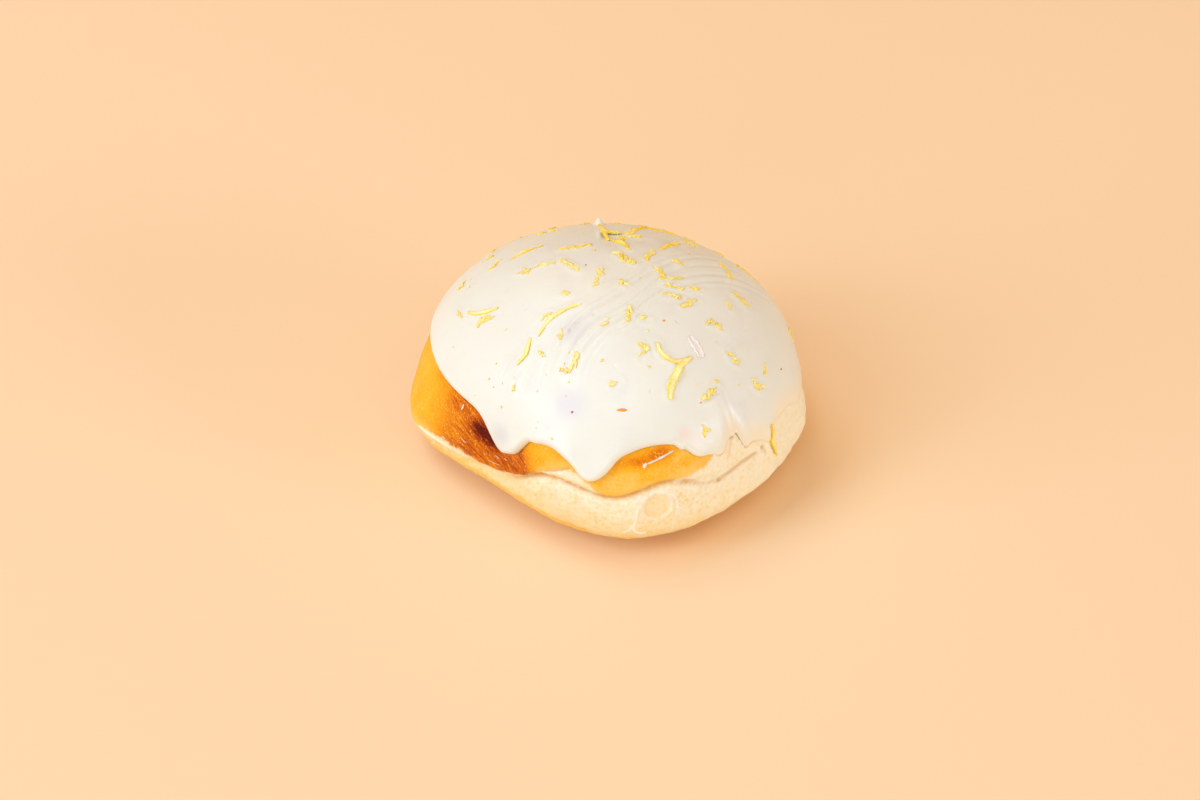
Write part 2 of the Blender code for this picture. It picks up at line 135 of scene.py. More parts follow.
# Shreds of zest. A heading is the way a shred runs: 0 towards growing azimuths, 90 towards the
# crown. Its bend is how far it turns from end to end.
Shred = namedtuple("Shred", "azimuth rise heading length width bend")
NOTED_SHREDS = sized(Shred, ["length", "width"], (
    (230, 64, 78, 12.8, 1.1, -63), (301, 54, -62, 11.8, 1.2, 130), (295, 48, -148, 13.7, 1.9, 46),
    (224, 49, 90, 7.0, 1.3, 62), (98, 67, 95, 11.5, 1.2, 8), (86, 78, 133, 8.8, 1.5, -50),
    (86, 69, 172, 6.8, 1.8, 25), (73, 62, -96, 10.2, 1.5, -10), (62, 56, -155, 7.6, 1.2, 10),
    (75, 72, -131, 5.3, 1.0, -60), (48, 87, 148, 5.9, 1.6, 21), (41, 68, -78, 8.3, 1.3, -25),
    (348, 78, -151, 5.5, 1.5, -40), (350, 73, -57, 5.7, 0.9, 10), (236, 83, -56, 6.4, 1.4, 21),
    (171, 79, 51, 6.7, 1.4, 13), (138, 76, 136, 6.0, 0.9, 15), (339, 71, -68, 4.8, 0.9, 10),
    (328, 70, -56, 5.3, 0.9, -10), (331, 65, -27, 4.8, 1.2, 30), (282, 70, -97, 4.5, 1.3, -41),
    (265, 67, -106, 3.3, 0.9, 15), (153, 63, 134, 7.6, 0.8, -24), (187, 49, 50, 8.4, 1.1, 55),
    (192, 48, 72, 4.4, 1.1, -20), (286, 58, -79, 4.2, 1.4, -110), (331, 55, -50, 4.1, 1.2, -53),
    (324, 44, -92, 5.2, 1.1, 65), (306, 39, -1, 3.6, 1.4, -10), (299, 29, -102, 4.5, 1.1, 83),
    (253, 53, 56, 6.7, 1.2, 118), (12, 57, 180, 6.7, 1.1, -25), (27, 40, -147, 6.8, 1.3, 15),
    (355, 52, -108, 5.6, 1.0, -29), (4, 24, -87, 6.6, 1.5, -50), (327, 32, -64, 4.1, 1.5, 16),
    (234, 51, -5, 2.3, 1.1, 10), (33, 78, -60, 4.6, 1.3, 20), (13, 72, -157, 2.9, 1.1, -20),
    (346, 66, -80, 2.0, 1.0, 0), (293, 68, -39, 1.7, 1.0, 10), (216, 72, 23, 1.8, 1.5, 0),
    (291, 82, -62, 1.7, 1.0, 10), (240, 59, -48, 2.1, 1.0, 0), (173, 65, 70, 3.2, 1.0, 20),
    (169, 71, 90, 3.3, 0.9, 15), (180, 40, 36, 1.6, 1.0, 0), (220, 62, 69, 2.0, 1.1, 10),
    (228, 37, -66, 1.4, 1.0, 0), (272, 49, 29, 2.0, 1.1, 15), (310, 41, -59, 1.4, 0.9, 0),
    (347, 55, -121, 1.9, 1.0, 0), (333, 33, -127, 2.9, 1.0, 20),
))

# More shreds lie round the back, where none is noted, thickest towards the crown.
SCATTERED_COUNT = 17
SCATTER_SEED = 7
SCATTER_START = 15
SCATTER_SPAN = 150
SCATTER_CROWN_POWER = 0.8
SCATTER_LOWEST_RISE = 38
SCATTER_CLEARANCE = 6.5 * MM
SCATTER_LEAST_LENGTH = 1.6 * MM
SCATTER_LENGTH_RANGE = 3.2 * MM
SCATTER_LEAST_WIDTH = 0.9 * MM
SCATTER_WIDTH_RANGE = 0.5 * MM
SCATTER_BEND_RANGE = 90
SHRED_HEIGHT = 0.5 * MM
SHRED_STATION_STEP = 1.8 * MM

# ---------------------------------------------------------------- what the looks add

# How finely the surfaces are cut. The dough is coarse where the icing or the floor hides it.
# The columns crowd together at the front, which shows the finest lines.
COLUMNS = 560
COLUMN_CROWDING = 0.5
CROWDED_AZIMUTH = 262
DOUGH_SOLE_ROWS = 8
DOUGH_SIDE_ROWS = 150
DOUGH_HIDDEN_ROWS = 12
DOUGH_SIDE_FOOT_RISE = -62
HIDDEN_START = 2.5 * MM
RIM_ROWS = 8
CAP_ROWS = 150
LINING_ROWS = 10
# Finer turns of the icing's edge than the part's own.
EDGE_TRIMS = sized(Drip, ["reach"], (
    (240.6, -0.9, 2.2), (235.6, 0.5, 1.6), (257.5, -0.5, 2.5), (271.5, -0.7, 3.0),
    (290.8, 0.6, 1.2), (295.8, 1.5, 3.5), (308.2, 2.4, 2.2), (311.9, -2.4, 1.1),
    (315.0, 0.9, 2.0), (319.5, 1.4, 2.5), (327.6, -1.8, 3.2), (334.5, 0.8, 3.0),
    (343.5, 1.4, 5.0),
))

# Noise that is the same in every run.
NOISE_CELLS = 32
NOISE_SEED = 11
NOISE_SHIFT = 5.37
LINE_NOISE_KNOTS = 400
# How many straight steps stand for each step of a smooth route.
ROUTE_STEPS = 4

# The camera, at the photograph's viewing angle.
CAMERA_TARGET = Vector((-3.09 * MM, -10.49 * MM, 20 * MM))
CAMERA_DISTANCE = 554 * MM
CAMERA_ELEVATION = 40
CAMERA_LENS = 70
CAMERA_SENSOR = 36
CAMERA_NEAR = 0.01


def srgb(red, green, blue):
    """A linear colour from three numbers of 0 to 255."""

    def linear(value):
        value /= 255
        return value / 12.92 if value <= 0.04045 else ((value + 0.055) / 1.055) ** 2.4

    return linear(red), linear(green), linear(blue), 1.0


# Colours of the bun.
CRUST_STRAW = srgb(251, 210, 112)
CRUST_GOLD = srgb(248, 186, 38)
CRUST_AMBER = srgb(243, 162, 20)
CRUST_RUSSET = srgb(220, 120, 6)
CRUST_BROWN = srgb(180, 72, 2)
CRUST_DARK = srgb(96, 4, 2)
BAND_CREAM = srgb(249, 241, 206)
BAND_BUFF = srgb(248, 230, 174)
BAND_STRAW = srgb(244, 211, 130)
# The palest band colour is a painted highlight on the raised threads of dough.
BAND_THREAD_HIGHLIGHT = srgb(254, 250, 226)
# Brown painted as shade into the crease, the cracks and the pores, and partly as contact shade along the
# thin icing's edge.
SHADE_BROWN = srgb(212, 148, 30)
# Colours of the icing and of what lies on it.
ICING_WHITE = srgb(236, 240, 220)
ICING_GREY = srgb(224, 223, 212)
ICING_PINK = srgb(244, 224, 200)
ICING_FILM = srgb(248, 236, 198)
ZEST_DEEP = srgb(255, 212, 30)
ZEST_YELLOW = srgb(255, 233, 90)
ZEST_PALE = srgb(255, 246, 168)
SPECK_RED = srgb(196, 96, 62)
SPECK_ORANGE = srgb(250, 164, 30)
PITH_WHITE = srgb(250, 245, 234)
FLOOR_PEACH = srgb(252, 226, 178)


# ---------------------------------------------------------------- shape functions


def in_radians(azimuth, rise):
    return np.array(azimuth * DEGREE), np.array(rise * DEGREE)


def turn_between(angle, centre):
    """The angle from centre, in radians from -pi to pi."""
    return (angle - centre + math.pi) % (2 * math.pi) - math.pi


def waves(azimuth, lobes):
    """The sum of even waves round the bun."""
    return sum(
        lobe.height * np.cos(lobe.count * (azimuth - lobe.direction * DEGREE)) for lobe in lobes
    )


def turns_from(azimuth, form):
    """How many of its half angles an azimuth lies from the middle of a swelling, drip or spot."""
    return turn_between(azimuth, form.azimuth * DEGREE) / (form.half_angle * DEGREE)


def eased(t, start, end, slope_in, slope_out):
    """The place at a share t of the smooth way from start to end, with a slope at each."""
    return (
        (2 * t**3 - 3 * t**2 + 1) * start
        + (t**3 - 2 * t**2 + t) * slope_in
        + (3 * t**2 - 2 * t**3) * end
        + (t**3 - t**2) * slope_out
    )


def line_height(azimuth, line):
    """The height at an azimuth of a closed smooth line round the bun."""
    knots, heights = np.array(line, float).T
    at = np.asarray(azimuth) / DEGREE % 360
    turns = np.concatenate([knots - 360, knots, knots + 360])
    values = np.tile(heights * MM, 3)
    i = np.searchsorted(turns, at, side="right") - 1
    step = turns[i + 1] - turns[i]
    t = (at - turns[i]) / step
    slope_in = (values[i + 1] - values[i - 1]) / (turns[i + 1] - turns[i - 1]) * step
    slope_out = (values[i + 2] - values[i]) / (turns[i + 2] - turns[i]) * step
    return eased(t, values[i], values[i + 1], slope_in, slope_out)


def plan_radius(azimuth):
    return PLAN_RADIUS + waves(azimuth, PLAN_LOBES)


def side_push(azimuth, height):
    """How far the swellings, the hollows and the crease move the bun's side outwards."""
    push = 0 * azimuth * height
    for swelling in SWELLINGS:
        up = (height - swelling.height) / swelling.half_height
        push = push + swelling.push * np.exp(-(turns_from(azimuth, swelling) ** 2) - up**2)
    return push - crease_depth(azimuth, height)


def crease_depth(azimuth, height):
    above = (height - line_height(azimuth, CREASE_LINE)) / CREASE_HALF_HEIGHT
    past_end = np.abs(turn_between(azimuth, CREASE_MIDDLE * DEGREE)) / DEGREE - CREASE_HALF_SPAN
    share = SHALLOW_SHARE + (1 - SHALLOW_SHARE) / (1 + np.exp(past_end / CREASE_FADE))
    return CREASE_DEPTH * share * np.exp(-(above**2))


def dough_point(azimuth, rise):
    """The point of the bun's surface at an azimuth and a rise, both in radians."""
    level = np.abs(np.cos(rise))
    steep = np.abs(np.sin(rise))
    upper = rise >= 0
    radius = plan_radius(azimuth) * level ** np.where(upper, DOME_FULLNESS, FOOT_FULLNESS)
    dome = BELLY_HEIGHT + (DOUGH_HEIGHT - BELLY_HEIGHT) * steep
    foot = BELLY_HEIGHT * np.maximum(0, 1 - steep / (1 - FLAT_SHARE))
    height = np.where(upper, dome, foot)
    fade = np.minimum(1, radius / SWELLING_FADE_RADIUS)
    radius = radius + side_push(azimuth, height) * fade
    return np.stack([radius * np.cos(azimuth), radius * np.sin(azimuth), height + 0 * azimuth], -1)


def outward(azimuth, rise):
    """The bun's outward normal, from points a small step apart."""
    step = 1e-3
    rise = np.minimum(rise, CROWN - 2 * step)
    east = dough_point(azimuth + step, rise) - dough_point(azimuth - step, rise)
    north = dough_point(azimuth, rise + step) - dough_point(azimuth, rise - step)
    normal = np.cross(east, north)
    return normal / np.linalg.norm(normal, axis=-1, keepdims=True)


def rise_at_height(height):
    """The rise in radians of the bun's surface at a height above the flat."""
    up = (height - BELLY_HEIGHT) / (DOUGH_HEIGHT - BELLY_HEIGHT)
    down = (1 - height / BELLY_HEIGHT) * (1 - FLAT_SHARE)
    dome, foot = np.arcsin(np.clip(up, 0, 1)), -np.arcsin(np.clip(down, 0, 1))
    return np.where(height >= BELLY_HEIGHT, dome, foot)


def icing_edge_rise(azimuth):
    """The rise in radians of the icing's lower edge."""
    height = EDGE_HEIGHT + waves(azimuth, EDGE_WAVES)
    for drip in DRIPS + EDGE_TRIMS:
        height = height - drip.reach * np.exp(-(turns_from(azimuth, drip) ** 2))
    return rise_at_height(height)


def above_edge(azimuth, rise):
    """How far up the bun's profile a place lies from the icing's lower edge."""
    return (rise - icing_edge_rise(azimuth)) * PROFILE_RADIUS


def rounded(from_edge, width):
    """The share of the icing's full thickness at a distance from its edge."""
    return np.sqrt(1 - (1 - np.clip(from_edge / width, 0, 1)) ** 2)


def icing_depth(azimuth, rise):
    """The icing's thickness: a rounded rim, beads on the drips, and a dimple by the crown."""
    from_edge = above_edge(azimuth, rise)
    depth = ICING_THICKNESS + 0 * from_edge
    for drip in DRIPS:
        across = turns_from(azimuth, drip)
        depth = depth + drip.bead * np.exp(-(across**2) - (from_edge / BEAD_REACH) ** 2)
    centre = dough_point(*in_radians(CROWN_DIMPLE.azimuth, CROWN_DIMPLE.rise))
    apart = np.linalg.norm(dough_point(azimuth, rise) - centre, axis=-1) / CROWN_DIMPLE.half_width
    depth = depth - CROWN_DIMPLE.depth * np.exp(-(apart**2))
    return depth * rounded(from_edge, RIM_WIDTH)


def icing_point(azimuth, rise):
    """The point of the icing's outer face."""
    lift = ICING_GAP + icing_depth(azimuth, rise)
    return dough_point(azimuth, rise) + outward(azimuth, rise) * lift[..., None]


def under(point):
    """The azimuth and the rise of the bun's surface below a point."""
    azimuth = math.atan2(point[1], point[0])
    level = (math.hypot(point[0], point[1]) / plan_radius(azimuth)) ** (1 / DOME_FULLNESS)
    steep = (point[2] - BELLY_HEIGHT) / (DOUGH_HEIGHT - BELLY_HEIGHT)
    return np.array(azimuth), np.array(math.atan2(steep, level))


def headed(at, heading):
    """The way along the bun's surface from a place: 0 towards growing azimuths, up at 90 degrees."""
    up = outward(*at)
    east = np.cross((0, 0, 1), up)
    east /= np.linalg.norm(east)
    return east * math.cos(heading) + np.cross(up, east) * math.sin(heading)


def shred_stations(shred):
    """Points along a shred, each with its way across and the way up."""
    steps = max(2, round(shred.length / SHRED_STATION_STEP))
    turn = shred.bend * DEGREE / steps
    middle = in_radians(shred.azimuth, shred.rise)
    half_way = headed(middle, shred.heading * DEGREE) * shred.length / 2
    at = under(icing_point(*middle) - half_way)
    along = headed(at, (shred.heading - shred.bend / 2) * DEGREE)
    stations = []
    for _ in range(steps + 1):
        point, up = icing_point(*at), outward(*at)
        along = along - up * along.dot(up)
        along /= np.linalg.norm(along)
        across = np.cross(up, along)
        stations.append((point, across, up))
        along = along * math.cos(turn) + across * math.sin(turn)
        at = under(point + along * shred.length / steps)
    return stations


# ---------------------------------------------------------------- noise and measures

NOISE_TABLE = np.random.default_rng(NOISE_SEED).uniform(-1, 1, (NOISE_CELLS,) * 3)


def noise(points, size, layer=0):
    """Smooth noise of about -1 to 1, in lumps about as large as size, at each point."""
    at = np.asarray(points) / size + layer * NOISE_SHIFT
    cell = np.floor(at).astype(int)
    share = at - cell
    share = share * share * (3 - 2 * share)
    total = 0
    for corner in np.ndindex(2, 2, 2):
        near = np.where(corner, share, 1 - share).prod(-1)
        index = (cell + corner) % NOISE_CELLS
        total = total + near * NOISE_TABLE[index[..., 0], index[..., 1], index[..., 2]]
    return total


def rough(points, height, size, layer=0):
    """Noise of a height and a lump size in millimetres."""
    return height * MM * noise(points, size * MM, layer)


def bell(value):
    """1 at nothing, falling evenly to 0 on both sides."""
    return np.exp(-(value**2))


def smooth_step(value, low, high):
    share = np.clip((value - low) / (high - low), 0, 1)
    return share * share * (3 - 2 * share)


def span_share(value, start, full, fading, end):
    """1 from full to fading, falling smoothly to 0 at the start and the end."""
    return smooth_step(value, start, full) * (1 - smooth_step(value, fading, end))


def side_place(azimuth, height):
    """The point of the bun's side at an azimuth in degrees and a height in millimetres."""
    return dough_point(np.array(azimuth * DEGREE), rise_at_height(np.array(height * MM)))


def top_place(azimuth, rise):
    """The point of the icing at an azimuth and a rise in degrees."""
    return icing_point(*in_radians(azimuth, rise))


def distance_to(points, place):
    return np.linalg.norm(points - place, axis=-1)


def distance_to_path(points, knots):
    """The distance of each point from a smooth line through knots on the bun's side."""
    places = np.array([side_place(*knot) for knot in knots])
    last = len(knots) - 1
    places = smooth_through(places, np.linspace(0, last, ROUTE_STEPS * last + 1))
    nearest = np.inf
    for start, end in zip(places, places[1:]):
        along = end - start
        share = np.clip((points - start) @ along / (along @ along), 0, 1)
        away = np.linalg.norm(points - start - share[..., None] * along, axis=-1)
        nearest = np.minimum(nearest, away)
    return nearest


def tree_of(points):
    tree = KDTree(len(points))
    for number, point in enumerate(points):
        tree.insert(point, number)
    tree.balance()
    return tree


def smooth_through(knots, places):
    """The points at some places along a smooth line through knots, which lie at 0, 1, 2 and on."""
    ends = 2 * knots[0] - knots[1], 2 * knots[-1] - knots[-2]
    padded = np.concatenate([[ends[0]], knots, [ends[1]]])
    first = np.minimum(places.astype(int), len(knots) - 2)
    t = (places - first)[:, None]
    before, start, end, after = (padded[first + step] for step in range(4))
    slope_in, slope_out = (end - before) / 2, (after - start) / 2
    return eased(t, start, end, slope_in, slope_out)


# ---------------------------------------------------------------- meshes


def column_azimuths():
    turn = np.arange(COLUMNS) / COLUMNS * 2 * math.pi
    crowded = turn - COLUMN_CROWDING * np.sin(turn - CROWDED_AZIMUTH * DEGREE)
    return crowded[None, :] % (2 * math.pi)


def rows_between(start, end, count):
    """Evenly spaced rises from the start, without the end."""
    return [start + (end - start) * row / count for row in range(count)]


def grid_faces(rows, columns):
    """The faces of a tube of rows of points, closed the way round."""
    row, column = np.mgrid[: rows - 1, :columns]
    beside = (column + 1) % columns
    low, high = row * columns, (row + 1) * columns
    return np.stack([low + column, low + beside, high + beside, high + column], -1).reshape(-1, 4)


def linked(name, data):
    """A new object of the scene."""
    made = bpy.data.objects.new(name, data)
    bpy.context.scene.collection.objects.link(made)
    return made


def placed(name, points, faces, values):
    """A smooth object of the scene, with named values at its points and its faces turned outwards."""
    mesh = bpy.data.meshes.new(name)
    mesh.from_pydata(np.asarray(points).tolist(), [], faces)
    for key, value in values.items():
        mesh.attributes.new(key, "FLOAT", "POINT").data.foreach_set("value", np.ravel(value))
    shape = bmesh.new()
    shape.from_mesh(mesh)
    bmesh.ops.recalc_face_normals(shape, faces=shape.faces)
    shape.to_mesh(mesh)
    shape.free()
    mesh.shade_smooth()
    return linked(name, mesh)


def skin(name, rings, first_pole, last_pole, values):
    """A closed body through rings of points, with a pole at each end."""
    rows, columns = rings.shape[:2]
    points = np.concatenate([rings.reshape(-1, 3), [first_pole, last_pole]])
    first, last = rows * columns, rows * columns + 1
    column = np.arange(columns)
    beside = (column + 1) % columns
    top = (rows - 1) * columns
    faces = grid_faces(rows, columns).tolist()
    faces += np.stack([np.full(columns, first), beside, column], -1).tolist()
    faces += np.stack([np.full(columns, last), top + column, top + beside], -1).tolist()
    flat = {
        key: np.concatenate([value.ravel(), [value[0].mean(), value[-1].mean()]])
        for key, value in values.items()
    }
    return placed(name, points, faces, flat)


def tube_faces(rows, sides):
    """The faces of a tube with both of its ends closed."""
    faces = grid_faces(rows, sides).tolist()
    faces.append(list(range(sides))[::-1])
    faces.append([(rows - 1) * sides + side for side in range(sides)])
    return faces


def kept_in_box(points):
    """The points, moved no further than the part's own box lets them."""
    return np.clip(points, CAD_BOX[0], CAD_BOX[1])


# ---------------------------------------------------------------- the bun

# Where the browned crust ends, as azimuths and heights in millimetres. It runs above the icing's
# edge on the right, where the dough stays pale.
CRUST_LINE = (
    (0, 36.0), (40, 34.0), (60, 17.5), (90, 15.0), (135, 11.0), (175, 8.6), (187, 9.6),
    (192, 11.2), (198, 12.6), (204, 13.1), (211, 13.4), (218, 13.0), (225, 12.8), (232, 14.4),
    (239, 16.7), (247, 22.0), (256, 24.8), (262, 22.8), (267, 19.8), (273, 20.4), (281, 22.4),
    (288, 22.8), (294, 23.6), (299, 24.3), (303, 26.8), (308, 32.0), (330, 36.0),
)
# The underside is browned too, up to this line.
SOLE_LINE = (
    (0, 5.5), (90, 7.0), (150, 6.0), (185, 7.6), (195, 8.8), (203, 10.0), (214, 10.8),
    (230, 10.9), (245, 10.8), (255, 10.2), (266, 8.8), (277, 8.0), (292, 6.8), (325, 5.5),
)
# The brown line in the crease, which is painted shade, and the golden one along the thin icing's edge,
# partly the dough's oily colour and partly painted contact shade. A span is where a line starts, is
# full, fades and ends, in degrees.
CREASE_SHADE_SPAN = (226, 238, 290, 298)
CREASE_SHADE_HALF_HEIGHT = 0.5 * MM
GOLD_EDGE_SHADE_SPAN = (300, 305, 316, 326)
GOLD_EDGE_SHADE_SHARE = 0.45
GOLD_EDGE_SHADE_WIDTH = 0.6 * MM
# The band grows paler along this stretch, and its wrinkles deeper along the other.
PALE_SIDE = (285, 325)
WRINKLED_SIDE = (14 * MM, 30 * MM)
WRINKLE_GAIN = 0.9
WRINKLE_STRETCH = (1, 1, 1.9)
# The crust's fine grain gives way to the band's wrinkles over this height about the crust's line.
CRUST_CHANGE = (-0.4 * MM, 0.6 * MM)
# Pits between the wrinkles: they sink where their noise passes from the first share to the second.
PIT_DEPTH, PIT_SIZE = 0.22 * MM, 1.6 * MM
PIT_START = (0.5, 0.85)
# The relief starts this far above the floor, and ends this far under the icing.
FOOT_START = (0.3 * MM, 2.5 * MM)
ICING_START = (0.2 * MM, HIDDEN_START)
# How dark the crust is fried: an even share, a browned stretch round the left front, and spots, three of
# which also paint shade under the icing's edge.
BROWN_SHARE = 0.17
BROWN_STRETCH_SHARE = 0.47
BROWN_STRETCH_START = (186, 212)
BROWN_STRETCH_END = (239, 251)
BROWN_STRETCH_SLANT = 1.0 / MM
BROWN_STRETCH_HEIGHT = 18.5 * MM
Spot = namedtuple("Spot", "azimuth height half_angle half_height share")
BROWN_SPOTS = sized(Spot, ["height", "half_height"], (
    (219.5, 21.2, 5.0, 2.2, 0.46), (215.0, 22.4, 3.5, 1.6, 0.16), (224.0, 19.4, 4.0, 1.9, 0.20),
    (233.0, 17.2, 8.0, 1.6, 0.12), (194.0, 27.0, 13.0, 3.5, 0.16),
    (272.0, 24.0, 10.0, 4.0, -0.06), (292.0, 26.0, 12.0, 4.0, -0.10),
    # These three spots make a russet strip just under the icing's edge: partly browning, partly painted
    # shade under the icing's rim.
    (262.0, 27.4, 22.0, 1.6, 0.10), (277.5, 28.4, 5.5, 1.3, 0.34), (284.5, 29.8, 4.5, 1.4, 0.44),
    (292.5, 26.6, 4.0, 1.2, 0.14), (282.0, 24.6, 4.0, 1.2, 0.08), (298.0, 24.6, 3.0, 0.9, 0.16),
    (245.5, 23.6, 5.0, 2.4, 0.16), (110.0, 24.0, 45.0, 9.0, 0.20),
))
# A round mark on the pale band, where the filling went in, with threads of dough beside it. The
# places of the fine marks on the side are azimuths and heights in millimetres.
RING_PLACE = (282.3, 17.7)
RING_RADIUS = 3.6 * MM
RING_HALF_WIDTH = 0.32 * MM
RING_HEIGHT = 0.34 * MM
RING_SINK = 0.30 * MM
RING_FLOOR_SHARE = 0.75
RING_COLOUR_SHARE = 0.7
# Threads, cracks and folds: the knots of the route, the half width and the height.
Groove = namedtuple("Groove", "route half_width height")
THREADS = sized(Groove, ["half_width", "height"], (
    (((277.4, 20.4), (276.4, 16.0), (275.4, 12.2)), 0.30, 0.32),
    (((275.4, 12.2), (276.6, 10.7), (279.0, 10.4)), 0.34, 0.28),
    (((272.8, 10.9), (274.4, 11.6), (274.8, 13.2)), 0.30, 0.22),
    (((284.0, 21.3), (287.6, 19.4), (288.2, 16.6)), 0.30, 0.28),
    (((288.2, 16.6), (287.0, 13.0), (286.4, 10.0)), 0.34, 0.20),
    (((189.0, 10.8), (197.0, 11.8), (205.0, 12.1), (213.0, 12.3)), 0.38, 0.30),
    (((187.0, 13.4), (193.5, 14.0), (203.0, 14.9), (210.0, 15.4)), 0.38, 0.28),
    (((206.0, 16.4), (214.0, 15.9), (222.0, 15.6), (229.0, 16.2)), 0.34, 0.20),
))
CRACKS = sized(Groove, ["half_width", "height"], (
    (((247.0, 21.8), (251.5, 23.6), (256.0, 25.1)), 0.36, 0.40),
    (((238.5, 17.0), (243.0, 18.9), (247.0, 20.6)), 0.36, 0.50),
    (((290.0, 21.8), (296.0, 20.2), (299.0, 19.5), (302.5, 19.2)), 0.50, 0.30),
    (((302.5, 19.2), (309.0, 19.9), (312.5, 20.2), (318.5, 19.8)), 0.52, 0.42),
    (((306.5, 23.2), (308.4, 25.2), (309.8, 27.0)), 0.50, 0.26),
    (((330.0, 19.0), (336.0, 17.0), (343.0, 17.4)), 0.36, 0.18),
    (((189.0, 12.2), (197.0, 13.0), (205.0, 13.5), (213.0, 13.9)), 0.34, 0.30),
))
# Deep pores, which are painted darker with shade as the cracks are, but less.
PORE_SHADE_SHARE = 0.6
Pore = namedtuple("Pore", "azimuth height half_width depth")
PORES = sized(Pore, ["half_width", "depth"], (
    (322.3, 19.6, 0.75, 0.8), (323.0, 18.2, 0.55, 0.7), (324.6, 15.3, 0.40, 0.6),
    (307.5, 14.7, 0.32, 0.4), (295.0, 12.6, 0.30, 0.3), (244.5, 14.2, 0.30, 0.4),
    (247.5, 12.4, 0.38, 0.4), (260.5, 17.2, 0.34, 0.4), (264.5, 15.8, 0.28, 0.3),
))


def browning_and_edge_shade(azimuth, height):
    """How dark the crust is painted, from 0 for straw to 1 for near black: how it is fried, and along
    the icing's edge partly painted shade.
    """
    slanted = azimuth / DEGREE + BROWN_STRETCH_SLANT * (height - BROWN_STRETCH_HEIGHT)
    stretch = smooth_step(azimuth / DEGREE, *BROWN_STRETCH_START)
    stretch = stretch * (1 - smooth_step(slanted, *BROWN_STRETCH_END))
    total = BROWN_SHARE + BROWN_STRETCH_SHARE * stretch
    for spot in BROWN_SPOTS:
        up = (height - spot.height) / spot.half_height
        total = total + spot.share * bell(turns_from(azimuth, spot)) * bell(up)
    return total


def crease_shade_share(azimuth, height):
    """How much the brown line of painted shade in the crease shows."""
    along = span_share(azimuth / DEGREE, *CREASE_SHADE_SPAN)
    return along * bell((height - line_height(azimuth, CREASE_LINE)) / CREASE_SHADE_HALF_HEIGHT)


def gold_edge_shade_share(azimuth, under_icing):
    """How much the golden line along the thin icing's edge shows: partly the dough's own oily colour,
    partly painted contact shade.
    """
    along = span_share(azimuth / DEGREE, *GOLD_EDGE_SHADE_SPAN)
    return GOLD_EDGE_SHADE_SHARE * along * bell(under_icing / GOLD_EDGE_SHADE_WIDTH)


def groove_depth(points, grooves):
    return sum(
        groove.height * bell(distance_to_path(points, groove.route) / groove.half_width)
        for groove in grooves
    )


def pore_depth(points):
    return sum(
        pore.depth * bell(distance_to(points, side_place(pore.azimuth, pore.height)) / pore.half_width)
        for pore in PORES
    )


def dough_relief(crust, points):
    """How far the fine detail moves the bun's surface outwards, with the crust's share there."""
    pale = 1 - crust
    low_waves = rough(points, 0.20, 9) + rough(points, 0.10, 4.2, 1)
    stretched = points * WRINKLE_STRETCH
    wrinkles = rough(stretched, 0.16, 2.8, 2) + rough(stretched, 0.08, 1.3, 3)
    wrinkles = (1 + WRINKLE_GAIN * smooth_step(points[..., 0], *WRINKLED_SIDE)) * wrinkles
    pits = PIT_DEPTH * smooth_step(noise(points, PIT_SIZE, 4), *PIT_START)
    grain = rough(points, 0.02, 1.0, 5) + rough(points, 0.04, 2.6, 6)
    ring = distance_to(points, side_place(*RING_PLACE))
    mark = RING_HEIGHT * bell((ring - RING_RADIUS) / RING_HALF_WIDTH)
    mark -= RING_SINK * smooth_step(-ring, -RING_RADIUS, -RING_FLOOR_SHARE * RING_RADIUS)
    return low_waves + pale * (wrinkles - pits) + crust * grain + mark


def make_dough():
    azimuth = column_azimuths()
    foot = DOUGH_SIDE_FOOT_RISE * DEGREE
    flat_edge = -math.asin(1 - FLAT_SHARE)
    hidden = rise_at_height(EDGE_HEIGHT + waves(azimuth, EDGE_WAVES)) + HIDDEN_START / PROFILE_RADIUS
    sole = rows_between(flat_edge + 0 * azimuth, foot, DOUGH_SOLE_ROWS)
    side = rows_between(foot, hidden, DOUGH_SIDE_ROWS)
    top = rows_between(hidden, CROWN, DOUGH_HIDDEN_ROWS)
    rise = np.concatenate(sole + side + top)
    azimuth = azimuth + 0 * rise
    points = dough_point(azimuth, rise)
    height = points[..., 2]
    above_crust_line = height - line_height(azimuth, CRUST_LINE)
    threads, cracks = groove_depth(points, THREADS), groove_depth(points, CRACKS)
    pores = pore_depth(points)
    crust = smooth_step(above_crust_line, *CRUST_CHANGE)
    relief = dough_relief(crust, points) + threads - cracks - pores
    under_icing = above_edge(azimuth, rise)
    shown = smooth_step(height, *FOOT_START) * (1 - smooth_step(under_icing, *ICING_START))
    rings = kept_in_box(points + outward(azimuth, rise) * (relief * shown)[..., None])
    ring = distance_to(points, side_place(*RING_PLACE))
    values = {
        "above_crust_line": above_crust_line / MM,
        "crease_shade": crease_shade_share(azimuth, height),
        "above_sole_line": (height - line_height(azimuth, SOLE_LINE)) / MM,
        "browning_and_edge_shade": browning_and_edge_shade(azimuth, height),
        "right_side": smooth_step(azimuth / DEGREE, *PALE_SIDE),
        "threads": threads / MM,
        # The cracks and the pores are also painted darker, as shade in the hollows, and the golden edge
        # line adds partly painted contact shade.
        "cracks": (cracks + PORE_SHADE_SHARE * pores) / MM + gold_edge_shade_share(azimuth, under_icing),
        "ring": smooth_step(-ring, -RING_RADIUS, -RING_COLOUR_SHARE * RING_RADIUS),
    }
    return skin("dough_bun", rings, (0, 0, 0), (0, 0, DOUGH_HEIGHT), values)


# ---------------------------------------------------------------- the icing

